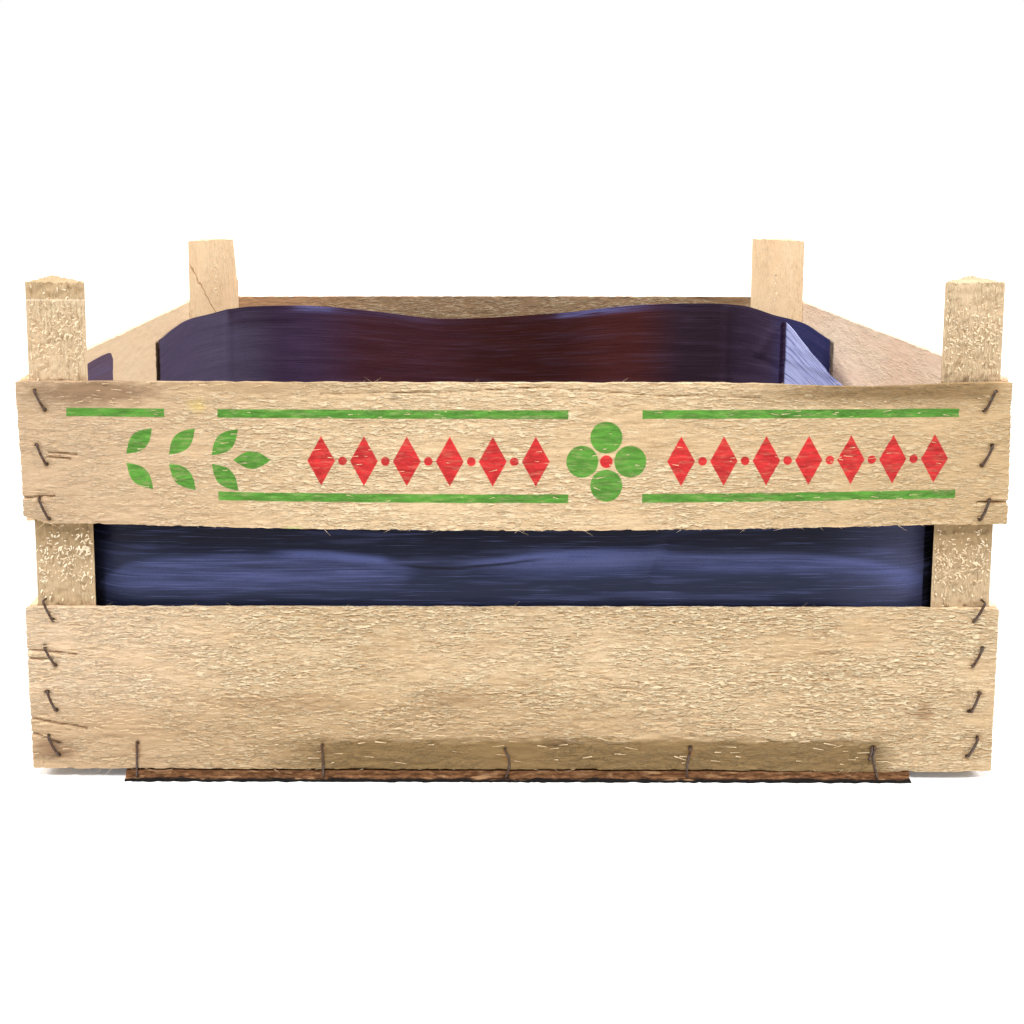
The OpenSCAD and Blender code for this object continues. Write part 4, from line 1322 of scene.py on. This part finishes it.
back_paper = scratched(recipe, colour, tone(112, 92, 122), tone(34, 20, 30), 0.3)

recipe = paper("front_paper", path_length(front_path), 202 * MM)
px, py, pz = recipe.at
# Painted shadow of the upper slat: the window is darker towards its top
colour = recipe.mix(recipe.spread(pz, 131, 113), tone(11, 13, 32), tone(35, 40, 62))
colour = recipe.mix(recipe.spread(px, 150, 212, 0, 0.5), colour, tone(82, 84, 118))
colour = recipe.mix(recipe.spread(px, -234, -240), colour, tone(112, 92, 110))
# The bulge in the window catches the light between these two lines
window_x = recipe.math("DIVIDE", recipe.plus(px, 220), 440)
window_z = recipe.math("DIVIDE", recipe.minus(pz, 93), 44)
upper_line = recipe.curve(window_x, [
    (0, 0.1), (0.03, 0.38), (0.06, 0.51), (0.1, 0.575), (0.25, 0.6), (0.35, 0.53), (0.42, 0.48), (0.46, 0.5),
    (0.55, 0.6), (0.66, 0.64), (0.7, 0.595), (0.84, 0.6), (0.91, 0.54), (0.97, 0.4), (1, 0.1)])
lower_line = recipe.curve(window_x, [
    (0, 0.1), (0.13, 0.18), (0.25, 0.2), (0.36, 0.24), (0.4, 0.46), (0.46, 0.46), (0.52, 0.42), (0.6, 0.42),
    (0.68, 0.44), (0.9, 0.42), (0.97, 0.15), (1, 0.1)])
over = recipe.minus(window_z, upper_line)
under = recipe.minus(window_z, lower_line)
bulge = recipe.times(recipe.spread(over, 0.04, -0.06), recipe.spread(under, -0.16, 0.16))
combed = recipe.times(recipe.spread(recipe.waves, 0.3, 0.6, 0.6, 1.0),
                     recipe.spread(recipe.scratches, 0.38, 0.58, 0.5, 1.0))
fade = recipe.curve(window_x, [(0, 0.55), (0.12, 0.72), (0.3, 0.78), (0.45, 0.85), (0.6, 0.95), (1, 0.95)])
band = recipe.times(bulge, combed)
colour = recipe.mix(recipe.times(band, fade), colour, tone(80, 88, 136))
ridge_light = recipe.curve(window_x, [
    (0, 0), (0.2, 0.0), (0.27, 0.8), (0.34, 0.7), (0.38, 0), (0.46, 0.3), (0.55, 0.6), (0.66, 0.2), (1, 0)])
ridge = recipe.times(recipe.spread(recipe.bare_size(over), 0.08, 0.0), ridge_light)
colour = recipe.mix(ridge, colour, tone(104, 116, 180))
# A painted highlight: a paler wedge in the bulge
wedge_highlight = recipe.curve(window_x, [(0, 0), (0.42, 0), (0.5, 0.7), (0.6, 0.7), (0.68, 0.25), (0.8, 0.2), (1, 0)])
colour = recipe.mix(recipe.times(bulge, wedge_highlight), colour, tone(98, 108, 164))
# Painted shade in a crease just above the bulge's upper line
crack = recipe.spread(recipe.bare_size(recipe.plus(over, 0.05)), 0.035, 0.0)
crease_shade_reach = recipe.curve(window_x, [(0, 0), (0.34, 0), (0.4, 0.9), (0.5, 0.9), (0.56, 0), (1, 0)])
crack = recipe.times(crack, crease_shade_reach)
colour = recipe.mix(crack, colour, tone(12, 13, 26))
# Painted shadow in the gap between the right post and the sheet
gap = recipe.times(recipe.spread(px, 214.2, 214.8), recipe.spread(pz, 138, 136))
colour = recipe.mix(recipe.times(gap, recipe.spread(py, -110, -120)), colour, tone(8, 8, 12))
# Painted reflection: the right flap's inner face shows a pale lavender glare
flap_reflection = recipe.times(recipe.spread(px, 210.8, 212), recipe.spread(py, -24, -12))
flap_reflection = recipe.times(flap_reflection, recipe.spread(pz, 8, 10))
lined = recipe.noise(1.6 * MM, 30, detail=3, rough=0.6, flat=recipe.flat, shift=(3, 3, 0))
lavender_reflection = recipe.mix(recipe.spread(lined, 0.52, 0.4, 0, 0.8), tone(188, 193, 238), tone(112, 116, 176))
colour = recipe.mix(flap_reflection, colour, lavender_reflection)
# Painted shade on the sliver curled back at the flap's free end
sliver_shade = recipe.times(recipe.spread(px, 211.6, 210.8), recipe.spread(py, 40, 50))
colour = recipe.mix(sliver_shade, colour, tone(52, 34, 58))
front_paper = scratched(recipe, colour, tone(108, 116, 172), tone(34, 34, 58), 0.35)
print("paper:", back_paper.name, front_paper.name)

# %% [markdown]
# ## Hand the pieces over
# Every piece gets its material, rides with the crate's one body, and stands for its node in the frame.


# %% Dress the pieces and hide their nodes
def dressed(piece, material, slot, *nodes):
    piece.data.materials.clear()
    piece.data.materials.append(material)
    return crate_piece(piece, slot, *nodes)


dressed(front_upper, front_upper_wood, "slat_wood", "front_slat_upper", "print_green", "print_red")
dressed(front_lower, front_lower_wood, "slat_wood", "front_slat_lower")
dressed(back_upper, back_shaded_wood, "slat_wood", "back_slat_upper")
dressed(back_lower, back_shaded_wood, "slat_wood", "back_slat_lower")
for (side, level), piece in end_slats.items():
    dressed(piece, left_lit_wood if side == "left" else right_lit_wood, "end_slat_wood", f"{side}_slat_{level}")
for (wall, side), piece in posts.items():
    slot = "post_wood" if wall == "front" else "pale_post_wood"
    dressed(piece, front_post_wood if wall == "front" else back_post_wood, slot, f"post_{wall}_{side}")
    dressed(tufts[wall, side], tuft_wood, slot)
for piece in (upper_chips, upper_hairs, lower_chips, lower_hairs):
    dressed(piece, chip_wood, "slat_wood")
for piece in fringes.values():
    dressed(piece, chip_wood, "end_slat_wood")
for (wall, level), piece in staples.items():
    dressed(piece, staple_wire, "wire", f"staples_{wall}_{level}")
dressed(front_stitches, staple_wire, "wire", "stitches_front")
for wall, piece in stitches.items():
    dressed(piece, staple_wire, "wire", f"stitches_{wall}")
dressed(board, hardboard, "hardboard", "bottom_board")
dressed(front_sheet, front_paper, "liner_paper", "liner_front_sheet")
dressed(back_sheet, back_paper, "liner_paper", "liner_back_sheet")
for helper in (hair, chip, staple, plain, *guides):
    bpy.data.objects.remove(helper)

# %% [markdown]
# ## Camera, floor and light
# The camera stands where the photograph's perspective puts it: a little left of the middle and above
# the rim, looking slightly down. Light falls softly from above and in front, as under a shop's ceiling.

# %% Camera
image_size, focal = 1024, 890.1
centre_x, centre_y = 462.0, 246.7
camera_data = bpy.data.cameras.new("camera")
camera_data.sensor_width = 36
camera_data.lens = camera_data.sensor_width * focal / image_size
camera_data.shift_x = (image_size / 2 - centre_x) / image_size
camera_data.shift_y = (centre_y - image_size / 2) / image_size
camera = bpy.data.objects.new("camera", camera_data)
camera.location = (-24.7 * MM, -589.8 * MM, 316.1 * MM)
camera.rotation_euler = (math.radians(90 - 4.789), 0, math.radians(0.188))
bpy.context.scene.collection.objects.link(camera)
bpy.context.scene.camera = camera

# %% Floor and light
bpy.ops.mesh.primitive_plane_add(size=12, location=(0, 0, -0.05 * MM))
floor = bpy.context.object
floor.name = "studio_floor"
recipe = Recipe("floor_paint")
seen = recipe.node("ShaderNodeLightPath", {})
direct = recipe.larger(seen.outputs["Is Camera Ray"], seen.outputs["Is Glossy Ray"])
direct = recipe.larger(direct, seen.outputs["Is Transmission Ray"])
pale = recipe.node("ShaderNodeBsdfDiffuse", {"Color": tone(214, 212, 208)}).outputs[0]
white = recipe.node("ShaderNodeBsdfDiffuse", {"Color": (1, 1, 1, 1)}).outputs[0]
lift = recipe.node("ShaderNodeEmission", {"Color": (1, 1, 1, 1), "Strength": 0.12}).outputs[0]
white = recipe.node("ShaderNodeAddShader", {0: white, 1: lift}).outputs[0]
surface = recipe.node("ShaderNodeMixShader", {0: direct, 1: pale, 2: white}).outputs[0]
recipe.tree.links.new(surface, recipe.tree.nodes["Material Output"].inputs["Surface"])
floor.data.materials.append(recipe.material)

world = bpy.data.worlds.new("studio")
bpy.context.scene.world = world
world.use_nodes = True
tree = world.node_tree
background = tree.nodes["Background"]
path = tree.nodes.new("ShaderNodeLightPath")
either = tree.nodes.new("ShaderNodeMath")
either.operation = "MAXIMUM"
tree.links.new(path.outputs["Is Camera Ray"], either.inputs[0])
tree.links.new(path.outputs["Is Transmission Ray"], either.inputs[1])
strength = tree.nodes.new("ShaderNodeMapRange")
strength.inputs["To Min"].default_value = 0.32
strength.inputs["To Max"].default_value = 1.0
tree.links.new(either.outputs[0], strength.inputs["Value"])
tree.links.new(strength.outputs["Result"], background.inputs["Strength"])
background.inputs["Color"].default_value = (1, 1, 1, 1)

lamps = (("key", 2.1, 64, -15, 10), ("left_side", 2.4, 38, -85, 30), ("right_side", 2.8, 38, 85, 30))
for name, power, elevation, turn, angle in lamps:
    lamp = bpy.data.lights.new(name, "SUN")
    lamp.energy = power
    lamp.angle = math.radians(angle)
    sun = bpy.data.objects.new(name, lamp)
    sun.rotation_euler = Euler((math.radians(90 - elevation), 0, math.radians(turn)))
    bpy.context.scene.collection.objects.link(sun)
bpy.context.scene.view_settings.view_transform = "Standard"
